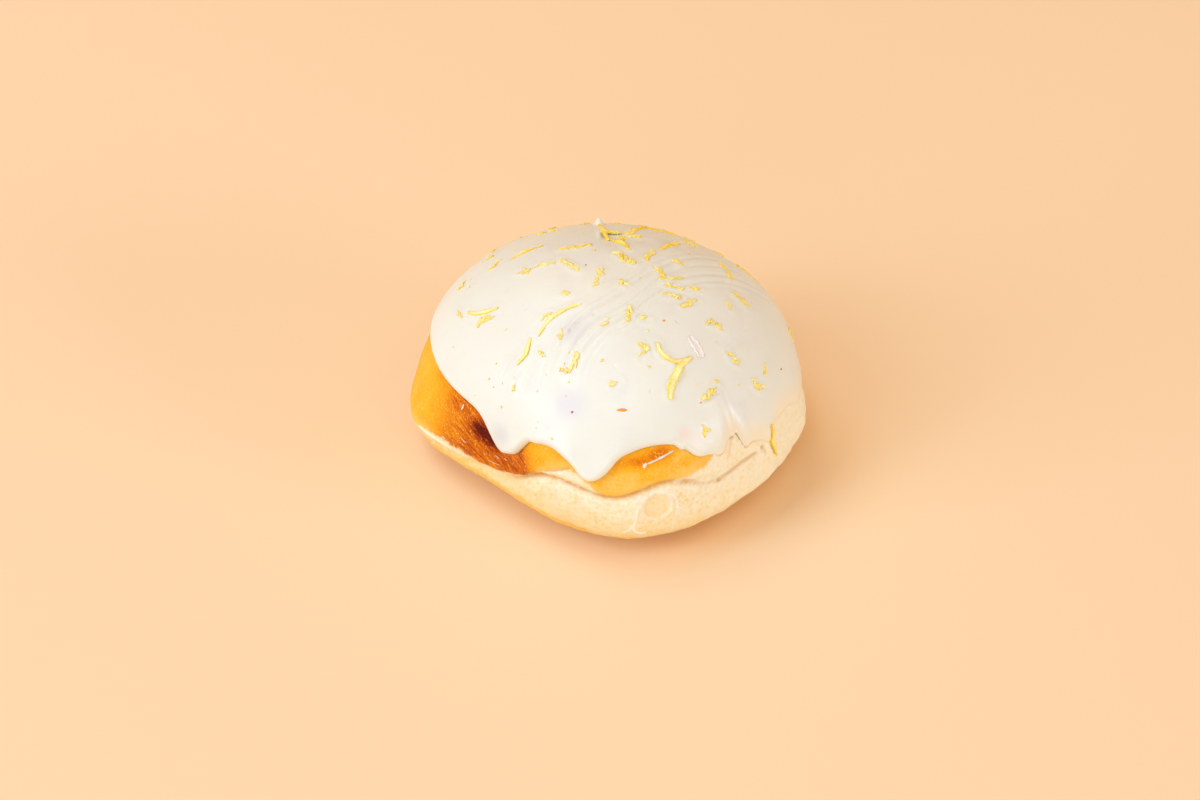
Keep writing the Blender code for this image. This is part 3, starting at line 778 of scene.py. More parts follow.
# Drag marks sweep round a centre low on the right flank, and fan out towards the back. They start,
# are full, fade and end at these distances from it, and at these turns in degrees round it.
DRAG_CENTRE = (12.2 * MM, -33.0 * MM, 39.2 * MM)
DRAG_SPAN = (17.5 * MM, 19.5 * MM, 25 * MM, 34 * MM)
DRAG_TURN = (37, 62, 148, 178)
DRAG_FAN_START, DRAG_FAN_SPAN, DRAG_FAN = 125, 50, 0.7
DRAG_HEIGHT = 0.19 * MM
DRAG_STEP = 0.95 * MM
DRAG_SEED = 5
# Faint streaks that run down the left front.
FLOW_PLACE = (226.0, 40.0)
FLOW_HALF_ANGLE, FLOW_HALF_RISE = 11.0, 6.0
FLOW_HEIGHT = 0.05 * MM
FLOW_STEP = 0.8 * MM
# The crown's crater: the places of its steep wall and of its far end, and its lip.
CRATER_ENDS = ((101.0, 70.5), (70.5, 69.5))
CRATER_DEPTH = 0.65 * MM
CRATER_HALF_WIDTH = 3.0 * MM
CRATER_WALL = 0.6 * MM
CRATER_FLOOR_SHARE = 0.35
CRATER_LIP_SHARE, CRATER_LIP_OFFSET, CRATER_LIP_WIDTH = 0.35, 0.3 * MM, 0.6 * MM
# Small pits in the icing, and a shallow dimple by the crown.
ICING_HOLLOWS = sized(Dimple, ["half_width", "depth"], (
    (254.1, 70.4, 0.42, 0.25), (242.6, 62.5, 0.45, 0.25), (270.8, 55.0, 0.32, 0.25),
    (312.0, 64.0, 0.32, 0.25), (205.0, 60.0, 0.30, 0.25), (284.0, 47.0, 0.30, 0.25),
    (59.5, 71.5, 2.6, 0.35),
))
# Within this distance above the edge, the icing is rounded towards the edge at its sides too.
FLANK_REACH = 9 * MM
EDGE_SAMPLES = 4000
# The icing is a film on the right: it starts along the first stretch, in degrees, and thickens
# away from its edge along the second.
FILM_SIDE = (298, 310)
FILM_FADE = (0.5 * MM, 8 * MM)
FILM_RIM_SHARE = 1.2
LIP_HEIGHT = 0.10 * MM
LIP_WIDTH = 0.9 * MM
LIP_SHARPNESS = 1.2
# The icing's fine relief is full from this distance above its edge.
ICING_RELIEF_START = 1.2 * MM
# Clouds in the icing's colour: azimuth, rise, half width in millimetres, and grey (below 0) or
# pink (above 0).
CLOUDS = (
    (228.5, 20.0, 3.4, -0.8), (253.5, 40.4, 4.5, -0.9), (244.0, 63.0, 4.5, -0.7),
    (292.6, 32.2, 1.5, 0.9), (296.0, 28.5, 3.0, 0.5), (196.0, 50.0, 9.0, 0.3),
)


def drag_place(points):
    """Where a point of the icing lies across the drag marks, and how much they show there."""
    away = points - np.array(DRAG_CENTRE)
    turned = np.degrees(np.arctan2(away[..., 1], away[..., 0]))
    fan = DRAG_FAN * np.clip((DRAG_FAN_START - turned) / DRAG_FAN_SPAN, 0, 2) ** 2
    across = np.linalg.norm(away, axis=-1) / (1 + fan)
    share = span_share(across, *DRAG_SPAN)
    return across, share * span_share(turned, *DRAG_TURN)


def line_noise(values, step, seed):
    """Smooth noise of -1 to 1 that changes along one measure."""
    knots = np.random.default_rng(seed).uniform(-1, 1, LINE_NOISE_KNOTS)
    at = values / step % (len(knots) - 1)
    first = np.floor(at).astype(int)
    share = smooth_step(at - first, 0, 1)
    return knots[first] * (1 - share) + knots[first + 1] * share


def crater_relief(points):
    wall, end = (top_place(*place) for place in CRATER_ENDS)
    length = np.linalg.norm(end - wall)
    way = (end - wall) / length
    along = (points - wall) @ way
    aside = np.linalg.norm(points - wall - along[..., None] * way, axis=-1)
    hollow = span_share(along, 0, CRATER_WALL, CRATER_FLOOR_SHARE * length, length)
    lip = CRATER_LIP_SHARE * bell((along + CRATER_LIP_OFFSET) / CRATER_LIP_WIDTH)
    return (lip - hollow) * CRATER_DEPTH * bell(aside / CRATER_HALF_WIDTH)


def peak_relief(points):
    place = top_place(CROWN_PEAK.azimuth, CROWN_PEAK.rise)
    away = distance_to(points, place) / CROWN_PEAK.base_radius
    return CROWN_PEAK.height * np.maximum(0, 1 - away) ** PEAK_SHARPNESS


def flank_rounding(azimuth, rise, film):
    """How much thinner the icing is where its edge runs steeply and lies nearby at one side."""
    turns = np.arange(EDGE_SAMPLES) / EDGE_SAMPLES * 2 * math.pi
    tree = tree_of(dough_point(turns, icing_edge_rise(turns)))
    points = dough_point(azimuth, rise)
    from_edge = above_edge(azimuth, rise)
    away = np.full(from_edge.shape, 10 * RIM_WIDTH)
    for place in np.argwhere(from_edge < FLANK_REACH):
        away[tuple(place)] = tree.find(points[tuple(place)])[2]
    width = RIM_WIDTH * (1 + FILM_RIM_SHARE * film)
    share = rounded(np.minimum(from_edge, away), width) / rounded(from_edge, RIM_WIDTH)
    return icing_depth(azimuth, rise) * (1 - share)


def film_share(azimuth, from_edge):
    """How thin and see-through the icing is: a film on the right, along its edge."""
    side = smooth_step(azimuth / DEGREE, *FILM_SIDE)
    return side * (1 - smooth_step(from_edge, *FILM_FADE))


def icing_relief(azimuth, rise, points, zest_points):
    """How far the fine detail moves the icing's outer face outwards."""
    relief = rough(points, 0.12, 11, 7) + rough(points, 0.05, 4.5, 8)
    across, share = drag_place(points)
    relief += DRAG_HEIGHT * share * line_noise(across, DRAG_STEP, DRAG_SEED)
    at, up = (place * DEGREE for place in FLOW_PLACE)
    flow = bell(turn_between(azimuth, at) / (FLOW_HALF_ANGLE * DEGREE))
    flow = flow * bell((rise - up) / (FLOW_HALF_RISE * DEGREE))
    relief += FLOW_HEIGHT * flow * line_noise(azimuth * PLAN_RADIUS, FLOW_STEP, DRAG_SEED)
    for hollow in ICING_HOLLOWS:
        away = distance_to(points, top_place(hollow.azimuth, hollow.rise))
        relief -= hollow.depth * bell(away / hollow.half_width)
    relief += crater_relief(points) + peak_relief(points)
    return relief + lips(points, zest_points)


def lips(points, zest_points):
    """The small rims of icing that cling to the zest."""
    tree = tree_of(zest_points)
    away = np.array([tree.find(point)[2] for point in points.reshape(-1, 3)])
    away = away.reshape(points.shape[:-1])
    return LIP_HEIGHT * bell(LIP_SHARPNESS * (away / LIP_WIDTH - 1))


def make_icing(zest_points):
    azimuth = column_azimuths()
    edge = icing_edge_rise(azimuth)
    rim_top = edge + RIM_WIDTH / PROFILE_RADIUS
    turns = [1 - math.cos(CROWN * row / RIM_ROWS) for row in range(1, RIM_ROWS)]
    rim = [edge + (rim_top - edge) * turn for turn in turns]
    cap = rows_between(rim_top, CROWN, CAP_ROWS)
    rise = np.concatenate(rim + cap)
    azimuth = azimuth + 0 * rise
    points = icing_point(azimuth, rise)
    from_edge = above_edge(azimuth, rise)
    film = film_share(azimuth, from_edge)
    relief = icing_relief(azimuth, rise, points, zest_points)
    relief *= smooth_step(from_edge, 0, ICING_RELIEF_START)
    relief -= flank_rounding(azimuth, rise, film)
    outer = kept_in_box(points + outward(azimuth, rise) * relief[..., None])

    lining_rise = np.concatenate([edge] + rows_between(rim_top, CROWN, LINING_ROWS))
    lining_azimuth = azimuth[:1] + 0 * lining_rise
    lift = np.full(lining_rise.shape, ICING_GAP)
    lift[0] = 0
    lining = dough_point(lining_azimuth, lining_rise)
    lining = lining + outward(lining_azimuth, lining_rise) * lift[..., None]

    rings = np.concatenate([outer[::-1], lining])
    all_azimuths = np.concatenate([azimuth[::-1], lining_azimuth])
    all_rises = np.concatenate([rise[::-1], lining_rise])
    thickness = np.concatenate([icing_depth(azimuth, rise)[::-1], ICING_THICKNESS + 0 * lift])
    across, share = drag_place(rings)
    cloud = sum(
        strength * bell(distance_to(rings, top_place(at, up)) / (half_width * MM))
        for at, up, half_width, strength in CLOUDS
    )
    values = {
        "drag_across": across / MM,
        "drag_share": share,
        "thickness": thickness / MM,
        "cloud": cloud,
        "film": film_share(all_azimuths, above_edge(all_azimuths, all_rises)),
    }
    crown = icing_point(np.array(0.0), np.array(CROWN))
    return skin("icing_coat", rings, crown, crown - (0, 0, ICING_THICKNESS), values)


# ---------------------------------------------------------------- zest

ZEST_STEP = 0.35 * MM
ZEST_SIDES = 12
ZEST_LUMPS, ZEST_LUMP_SIZE = 0.30, 0.55 * MM
ZEST_LIFT = 0.14 * MM
ZEST_SEED = 23
# A strand narrows to its ends, and rolls a little from side to side. A groove lies between its
# raised sides, and its underside is fuller than its top.
STRAND_END_SHARE, STRAND_END_POWER = 0.3, 0.45
STRAND_ROLL = 0.35
STRAND_RIM_POWER = 0.7
STRAND_GROOVE, STRAND_GROOVE_POWER = 0.45, 1.2
STRAND_BELLY = 1.4
# A shred at least this long lies whole. A shorter one has broken into small pieces.
WHOLE_LENGTH = 6.9 * MM
PIECE_LEAST, PIECE_RANGE = 1.1 * MM, 2.0 * MM
PIECE_SPACING = 0.62 * MM
PIECE_WIDTH_SHARE, PIECE_WIDTH_RANGE = 0.46, 0.36
PIECE_HEIGHT_SHARE = 0.75
PIECE_TURN, PIECE_BEND = 110, 140
PIECE_SPREAD = 1.4
CRUMB_ROUGHNESS, CRUMB_LUMP_SIZE = 0.35, 0.45 * MM
# The side shred's upper end lies on the icing.
SIDE_SHRED = Shred(326.6, 11.5, -83, 10.0 * MM, 1.1 * MM, 10)
FLECK_COUNT = 110
FLECK_SEED = 31
FLECK_LOWEST_RISE, FLECK_TOP_RISE = 26, 89
FLECK_LEAST, FLECK_RANGE = 0.3, 0.6
FLECK_WIDTH_SHARE = 0.7
FLECK_HEIGHT = 0.2 * MM


def smooth_stations(shred):
    """The part's own stations along a shred, with smooth ones put between them."""
    points, across, up = (np.array(side) for side in zip(*shred_stations(shred)))
    count = max(6, round(shred.length / ZEST_STEP)) + 1
    places = np.linspace(0, len(points) - 1, count)
    middles = smooth_through(points, places)
    across, up = (smooth_through(way, places) for way in (across, up))
    across /= np.linalg.norm(across, axis=1, keepdims=True)
    up /= np.linalg.norm(up, axis=1, keepdims=True)
    return middles, across, up


def scattered_shreds():
    """Small shreds in the places that the noted ones leave, thickest round the crown."""
    draw = np.random.default_rng(SCATTER_SEED)
    taken = [top_place(shred.azimuth, shred.rise) for shred in NOTED_SHREDS]
    shreds = []
    while len(shreds) < SCATTERED_COUNT:
        azimuth, spread, heading, size, shape = draw.random(5)
        shred = Shred(
            azimuth=SCATTER_START + SCATTER_SPAN * azimuth,
            rise=90 - (90 - SCATTER_LOWEST_RISE) * spread**SCATTER_CROWN_POWER,
            heading=heading * 360,
            length=SCATTER_LEAST_LENGTH + SCATTER_LENGTH_RANGE * size**2,
            width=SCATTER_LEAST_WIDTH + SCATTER_WIDTH_RANGE * shape,
            bend=(shape - 0.5) * SCATTER_BEND_RANGE,
        )
        place = top_place(shred.azimuth, shred.rise)
        if min(np.linalg.norm(place - other) for other in taken) > SCATTER_CLEARANCE:
            taken.append(place)
            shreds.append(shred)
    return shreds


class Heap:
    """Gathers the points, faces and values of many small bodies that become one mesh."""

    def __init__(self):
        self.points, self.faces, self.edges, self.tones = [], [], [], []
        self.count = 0

    def add(self, points, faces, edge, tone):
        """Adds a body: its edge is 1 where the zest is painted deep yellow, at its sides and below, and
        0 at its pale top, its tone is its own. The pale top is a painted highlight, and the deep sides
        partly painted shade.
        """
        points = np.asarray(points).reshape(-1, 3)
        self.points.append(points)
        self.faces += [[corner + self.count for corner in face] for face in faces]
        self.edges.append(np.broadcast_to(edge, len(points)))
        self.tones.append(np.full(len(points), tone))
        self.count += len(points)

    def make(self, name):
        values = {"edge": np.concatenate(self.edges), "tone": np.concatenate(self.tones)}
        return placed(name, kept_in_box(np.concatenate(self.points)), self.faces, values)


def unit_ball():
    """The points and faces of a ball of radius 1."""
    shape = bmesh.new()
    bmesh.ops.create_icosphere(shape, subdivisions=2, radius=1)
    points = np.array([vertex.co for vertex in shape.verts])
    faces = [[vertex.index for vertex in face.verts] for face in shape.faces]
    shape.free()
    return points, faces


def tapered(share, end_share, power):
    """The width's share along a body, from end_share at both of its ends to 1 at its middle."""
    return end_share + (1 - end_share) * np.sin(np.pi * share) ** power


def round_line(middles, across, up, sides, levels):
    """Points round a line, each given by how far it lies across and up from the line."""
    return middles[:, None] + across[:, None] * sides[..., None] + up[:, None] * levels[..., None]


def add_strand(heap, shred, draw, height=SHRED_HEIGHT):
    """A ribbon of zest with a raised rim along both sides and a groove between them."""
    middles, across, up = smooth_stations(shred)
    phase, twist, lift, tone = draw.random(4)
    share = np.linspace(0, 1, len(middles))
    run = share * shred.length / MM
    taper = tapered(share, STRAND_END_SHARE, STRAND_END_POWER)
    wobble = 1 + 0.16 * np.sin(2.1 * run + 6.3 * phase) + 0.10 * np.sin(5.3 * run + 9.1 * twist)
    half = shred.width / 2 * taper * wobble
    thick = height * (0.8 + 0.3 * np.sin(1.3 * run + 4 * lift)) * (0.5 + 0.5 * taper)
    roll = STRAND_ROLL * np.sin(0.8 * run + 6.3 * twist)
    angles = 2 * math.pi * (np.arange(ZEST_SIDES) + 0.5) / ZEST_SIDES
    out, high = np.cos(angles), np.sin(angles)
    rim = np.abs(out) ** STRAND_RIM_POWER * np.sign(out)
    groove = 1 - STRAND_GROOVE * (1 - np.abs(out)) ** STRAND_GROOVE_POWER
    groove = np.where(high > 0, groove, STRAND_BELLY)
    sides = half[:, None] * rim
    levels = thick[:, None] * high * groove + roll[:, None] * sides
    middles = middles + ZEST_LIFT * up
    points = round_line(middles, across, up, sides, levels)
    lumps = ZEST_LUMPS * noise(points, ZEST_LUMP_SIZE, 9)[..., None]
    points = points + lumps * (points - middles[:, None])
    # Painted light: the strand is painted pale along its top middle, a painted highlight, and deep
    # yellow at its sides, partly painted shade.
    edge = np.where(high > 0, smooth_step(np.abs(out), 0.35, 0.9), 0.3)
    edge = np.broadcast_to(edge, sides.shape).ravel()
    heap.add(points, tube_faces(len(middles), ZEST_SIDES), edge, tone)


def add_crumb(heap, ball, place, axes, size, tone):
    """A rough crumb of zest, its three axes given with their half lengths."""
    points, faces = ball
    swell = 1 + CRUMB_ROUGHNESS * noise(points * size + place, CRUMB_LUMP_SIZE, 12)
    local = points * swell[:, None]
    body = place + sum(local[:, axis, None] * way for axis, way in enumerate(axes))
    # Painted light: the crumb is painted pale on top, a painted highlight, and deep yellow underneath,
    # partly painted shade.
    heap.add(body, faces, smooth_step(-points[:, 2], -0.9, -0.2), tone)


def crumb_axes(along, up, length, width, height):
    """The three axes of a crumb that lies along a way: its half length, half width and height."""
    return along * length / 2, np.cross(up, along) * width / 2, up * height


def add_pieces(heap, shred, draw):
    """A shred that has broken into small pieces, strewn along its line."""
    middles, _, _ = smooth_stations(shred)
    for _ in range(max(3, round(shred.length / PIECE_SPACING))):
        share, aside, turn, size, slim = draw.random(5)
        length = min(PIECE_LEAST + PIECE_RANGE * size**2, shred.length)
        azimuth, rise = under(middles[int(share * (len(middles) - 1))])
        shift = (aside - 0.5) * shred.width / PLAN_RADIUS / DEGREE * PIECE_SPREAD
        piece = Shred(
            azimuth=float(azimuth / DEGREE) + shift,
            rise=float(rise / DEGREE),
            heading=shred.heading + (share - 0.5) * shred.bend + (turn - 0.5) * PIECE_TURN,
            length=length,
            width=shred.width * (PIECE_WIDTH_SHARE + PIECE_WIDTH_RANGE * slim),
            bend=(aside - 0.5) * PIECE_BEND,
        )
        add_strand(heap, piece, draw, PIECE_HEIGHT_SHARE * SHRED_HEIGHT)


def make_zest(shreds):
    heap, ball = Heap(), unit_ball()
    draw = np.random.default_rng(ZEST_SEED)
    for shred in shreds:
        add = add_strand if shred.length >= WHOLE_LENGTH else add_pieces
        add(heap, shred, draw)
    add_strand(heap, SIDE_SHRED, draw)
    flecks = np.random.default_rng(FLECK_SEED)
    for _ in range(FLECK_COUNT):
        azimuth, spread, turn, size, tone = flecks.random(5)
        rise = FLECK_TOP_RISE - (FLECK_TOP_RISE - FLECK_LOWEST_RISE) * spread**SCATTER_CROWN_POWER
        at = np.array(azimuth * 2 * math.pi), np.array(rise * DEGREE)
        length = (FLECK_LEAST + FLECK_RANGE * size**2) * MM
        along = headed(at, turn * 2 * math.pi)
        axes = crumb_axes(along, outward(*at), length, FLECK_WIDTH_SHARE * length, FLECK_HEIGHT)
        add_crumb(heap, ball, icing_point(*at), axes, length, tone)
    return heap.make("lemon_zest")


# ---------------------------------------------------------------- small things on the bun

# Grains on the icing.
Grain = namedtuple("Grain", "azimuth rise length width heading")
RED_SPECKS = sized(Grain, ["length", "width"], (
    (175.7, 83.3, 0.55, 0.45, 0), (255.5, 38.6, 0.60, 0.45, 60), (341.0, 30.0, 0.50, 0.40, 0),
))
ORANGE_GRAINS = sized(Grain, ["length", "width"], (
    (273.0, 42.0, 2.4, 0.62, 2), (304.6, 66.1, 0.65, 0.55, 0), (301.5, 39.0, 0.50, 0.40, 0),
))
GRAIN_HEIGHT = 0.22 * MM
# A flake of pith on the right.
FLAKE = Shred(311.4, 53.6, -95, 6.4 * MM, 2.3 * MM, -25)
FLAKE_COLUMNS = 14
FLAKE_END_SHARE, FLAKE_RAGGEDNESS = 0.45, 0.12
FLAKE_TOP, FLAKE_UNDERSIDE = 0.12 * MM, 0.15 * MM
# Its ridges run along both sides, at this share of the way out.
FLAKE_RIDGE, FLAKE_RIDGE_SHARE, FLAKE_RIDGE_WIDTH = 0.22 * MM, 0.75, 0.2
# Strings of glaze on the crust, and thin white strings that are painted glints on the dark crust: the
# knots of the route, and the half width.
CrustString = namedtuple("CrustString", "route half_width")
GLAZE_AND_GLINT_STRINGS = sized(CrustString, ["half_width"], (
    (((288.8, 29.6), (286.0, 29.1), (282.5, 28.4), (279.9, 27.9)), 0.26),
    (((279.9, 28.1), (279.3, 27.7), (278.9, 27.1)), 0.42),
    # This row and the rows after the next one are painted highlights: thin white strings that stand for
    # glints on the dark oily crust. The next row is a fleck of icing at its edge.
    (((208.6, 24.2), (211.4, 23.2), (214.2, 22.2)), 0.07),
    (((207.2, 25.0), (207.3, 24.2), (207.0, 23.5)), 0.26),
    (((202.2, 13.9), (203.4, 13.7)), 0.12),
    (((210.0, 16.7), (211.2, 16.4), (212.6, 16.2)), 0.09),
    (((218.2, 15.8), (219.6, 15.5)), 0.11),
    (((222.0, 14.8), (224.5, 14.9), (227.4, 15.2)), 0.06),
    (((224.6, 16.9), (226.4, 16.6)), 0.08),
    (((228.4, 17.5), (229.8, 17.4)), 0.09),
))
STRING_FLATNESS = 0.6
STRING_END_SHARE, STRING_RAGGEDNESS = 0.25, 0.2


def make_grains(name, grains):
    """Flattened rough beads on the icing, one for each grain."""
    heap, ball = Heap(), unit_ball()
    for azimuth, rise, length, width, heading in grains:
        at = in_radians(azimuth, rise)
        axes = crumb_axes(headed(at, heading * DEGREE), outward(*at), length, width, GRAIN_HEIGHT)
        add_crumb(heap, ball, icing_point(*at), axes, length, 0.5)
    return heap.make(name)


def make_flake():
    """A thin flake of pith with ragged sides, lying on the icing."""
    middles, across, up = smooth_stations(FLAKE)
    share = np.linspace(0, 1, len(middles))
    half = FLAKE.width / 2 * tapered(share, FLAKE_END_SHARE, 0.5)
    half = half * (1 + FLAKE_RAGGEDNESS * np.sin(share * 23))
    side = np.linspace(-1, 1, FLAKE_COLUMNS)
    flat = middles[:, None] + across[:, None] * (half[:, None] * side)[..., None]
    ridges = FLAKE_RIDGE * bell((np.abs(side) - FLAKE_RIDGE_SHARE) / FLAKE_RIDGE_WIDTH) + FLAKE_TOP
    bow = ridges * (1 - side**8) + rough(flat, 0.10, 0.9, 13)
    top = flat + up[:, None] * bow[..., None]
    bottom = flat - up[:, None] * FLAKE_UNDERSIDE
    rings = np.concatenate([top, bottom[:, ::-1]], axis=1)
    faces = tube_faces(len(middles), 2 * FLAKE_COLUMNS)
    return placed("pith_flake", kept_in_box(rings.reshape(-1, 3)), faces, {})


def make_glaze_and_glint_strings():
    """Strings and drops of glaze that fell on the crust, and thin white strings that paint glints on the
    dark crust.
    """
    heap = Heap()
    angles = np.arange(ZEST_SIDES) / ZEST_SIDES * 2 * math.pi
    for string in GLAZE_AND_GLINT_STRINGS:
        knots = np.array([side_place(*knot) for knot in string.route])
        ups = np.array([outward(at * DEGREE, rise_at_height(up * MM)) for at, up in string.route])
        places = np.linspace(0, len(knots) - 1, 8 * len(knots))
        middles, up = smooth_through(knots, places), smooth_through(ups, places)
        up /= np.linalg.norm(up, axis=1, keepdims=True)
        along = np.gradient(middles, axis=0)
        across = np.cross(up, along / np.linalg.norm(along, axis=1, keepdims=True))
        share = places / places[-1]
        half = string.half_width * tapered(share, STRING_END_SHARE, 0.5)
        half = half[:, None] * (1 + STRING_RAGGEDNESS * np.sin(share * 17))[:, None]
        levels = STRING_FLATNESS * half * np.sin(angles)
        rings = round_line(middles, across, up, half * np.cos(angles), levels)
        heap.add(rings, tube_faces(len(rings), ZEST_SIDES), 0.0, 0.0)
    return heap.make("glaze_and_glint_strings")


# ---------------------------------------------------------------- materials


class Shader:
    """A Principled material, with short ways to add nodes that feed it."""

    def __init__(self, name):
        self.material = bpy.data.materials.new(name)
        self.material.use_nodes = True
        self.tree = self.material.node_tree
        self.principled = self.tree.nodes["Principled BSDF"]
        self.place = self.node("ShaderNodeTexCoord").outputs["Object"]

    def node(self, kind, **settings):
        made = self.tree.nodes.new(kind)
        for key, value in settings.items():
            setattr(made, key, value)
        return made

    def feed(self, socket, value):
        if isinstance(value, bpy.types.NodeSocket):
            self.tree.links.new(value, socket)
        else:
            socket.default_value = value

    def set(self, **values):
        """Sets or links the shader's own inputs, named with _ for each space."""
        for key, value in values.items():
            self.feed(self.principled.inputs[key.replace("_", " ")], value)

    def attribute(self, name):
        return self.node("ShaderNodeAttribute", attribute_name=name).outputs["Fac"]

    def stretched(self, stretch, way=None):
        """Object coordinates scaled along the axes, after turning a way to the last of them."""
        vector = self.place
        if way is not None:
            turn = self.node("ShaderNodeMapping")
            self.feed(turn.inputs["Vector"], vector)
            turn.inputs["Rotation"].default_value = way.rotation_difference(Vector((0, 0, 1))).to_euler()
            vector = turn.outputs["Vector"]
        scale = self.node("ShaderNodeMapping")
        self.feed(scale.inputs["Vector"], vector)
        scale.inputs["Scale"].default_value = stretch
        return scale.outputs["Vector"]

    def where(self, name, low, high, most=1.0):
        """A share of up to most, from a named value's smooth way from low to high."""
        return self.between(self.attribute(name), low, high, 0.0, most)

    def soft(self, weight, radius, scale):
        """Lets light a little way into the material: scale is in millimetres."""
        self.set(Subsurface_Weight=weight, Subsurface_Radius=radius, Subsurface_Scale=scale * MM)

    def noise(self, size, detail=2.0, stretch=None, way=None, roughness=0.5):
        """Noise in lumps of about size, in metres."""
        texture = self.node("ShaderNodeTexNoise")
        self.feed(texture.inputs["Vector"], self.stretched(stretch, way) if stretch else self.place)
        texture.inputs["Scale"].default_value = 1 / size
        texture.inputs["Detail"].default_value = detail
        texture.inputs["Roughness"].default_value = roughness
        return texture.outputs["Fac"]

    def line_noise(self, value, scale, detail=2.0):
        """Noise that changes along one value only."""
        texture = self.node("ShaderNodeTexNoise", noise_dimensions="1D")
        self.feed(texture.inputs["W"], value)
        texture.inputs["Scale"].default_value = scale
        texture.inputs["Detail"].default_value = detail
        return texture.outputs["Fac"]

    def math(self, operation, first, second=0.0, third=0.0):
        made = self.node("ShaderNodeMath", operation=operation)
        for socket, value in zip(made.inputs, (first, second, third)):
            self.feed(socket, value)
        return made.outputs[0]

    def sum(self, *values):
        total = values[0]
        for value in values[1:]:
            total = self.math("ADD", total, value)
        return total

    def times(self, *values):
        product = values[0]
        for value in values[1:]:
            product = self.math("MULTIPLY", product, value)
        return product

    def about(self, value, spread):
        """A noise's value, turned into one of up to spread to both sides of 0."""
        return self.math("MULTIPLY_ADD", value, 2 * spread, -spread)

    def between(self, value, low, high, to_low=0.0, to_high=1.0):
        """The value's smooth share of the way from low to high."""
        made = self.node("ShaderNodeMapRange", interpolation_type="SMOOTHSTEP")
        inputs = ("Value", "From Min", "From Max", "To Min", "To Max")
        for key, number in zip(inputs, (value, low, high, to_low, to_high)):
            self.feed(made.inputs[key], number)
        return made.outputs["Result"]

    def mix(self, share, first, second):
        made = self.node("ShaderNodeMix", data_type="RGBA")
        self.feed(made.inputs[0], share)
        self.feed(made.inputs[6], first)
        self.feed(made.inputs[7], second)
        return made.outputs[2]

    def ramp(self, value, stops):
        made = self.node("ShaderNodeValToRGB")
        self.feed(made.inputs["Fac"], value)
        elements = made.color_ramp.elements
        while len(elements) < len(stops):
            elements.new(0.5)
        for element, (position, colour) in zip(elements, stops):
            element.position = position
            element.color = colour
        return made.outputs["Color"]

    def bump(self, height, distance, after=None):
        made = self.node("ShaderNodeBump")
        self.feed(made.inputs["Height"], height)
        made.inputs["Distance"].default_value = distance
        if after is not None:
            self.feed(made.inputs["Normal"], after)
        return made.outputs["Normal"]


# The way that the oily fibres of the dark crust run. Their lighter streaks are painted glints.
FIBRE_WAY = Vector((9.4, -9.8, -6.6))


def crust_colour(shader):
    """The fried crust: its browning, with painted shade under the icing's edge, broken up by mottling,
    grain, fibres whose lighter streaks are painted glints, and light specks.
    """
    brown = shader.attribute("browning_and_edge_shade")
    dark = shader.between(brown, 0.38, 0.62)
    mottle = shader.about(shader.noise(5 * MM, 6, roughness=0.6), 0.21)
    grain = shader.about(shader.noise(0.6 * MM, 3), 0.13)
    # Painted highlight: the lighter streaks along the fibres stand for glints on the oily dark crust,
    # beside the fibres' own darker streaks.
    fibres_and_glints = shader.noise(0.6 * MM, 4, stretch=(1, 1, 0.15), way=FIBRE_WAY, roughness=0.65)
    fibres_and_glints = shader.about(fibres_and_glints, 0.42)
    fried = shader.sum(brown, mottle, grain, shader.times(fibres_and_glints, dark))
    stops = (
        (0.0, CRUST_STRAW),
        (0.18, CRUST_GOLD),
        (0.38, CRUST_AMBER),
        (0.60, CRUST_RUSSET),
        (0.78, CRUST_BROWN),
        (1.0, CRUST_DARK),
    )
    colour = shader.ramp(fried, stops)
    near_line = shader.where("above_crust_line", 3.0, 0.3)
    pale = shader.times(near_line, shader.between(brown, 0.45, 0.25), 0.55)
    colour = shader.mix(pale, colour, CRUST_STRAW)
    lit = shader.between(brown, 0.95, 0.55, 0.15, 0.6)
    specks = shader.times(shader.between(shader.noise(0.5 * MM, 2), 0.60, 0.70), lit)
    return shader.mix(specks, colour, CRUST_STRAW)


def band_colour(shader):
    """The pale band: finely mottled cream, more straw-coloured low down, with a painted highlight along
    its raised threads.
    """
    fine = shader.noise(1.0 * MM, 5, roughness=0.6)
    broad = shader.about(shader.noise(5 * MM, 3), 0.12)
    stops = ((0.26, BAND_STRAW), (0.40, BAND_BUFF), (0.56, BAND_CREAM))
    colour = shader.ramp(shader.sum(fine, broad), stops)
    low = shader.where("above_sole_line", 10.0, 0.0, 0.68)
    colour = shader.mix(low, colour, BAND_STRAW)
    colour = shader.mix(shader.times(shader.attribute("right_side"), 0.45), colour, BAND_CREAM)
    colour = shader.mix(shader.times(shader.attribute("ring"), 0.35), colour, BAND_STRAW)
    # Painted highlight: the raised threads are painted paler, where light catches them.
    return shader.mix(shader.where("threads", 0.06, 0.26, 0.75), colour, BAND_THREAD_HIGHLIGHT)


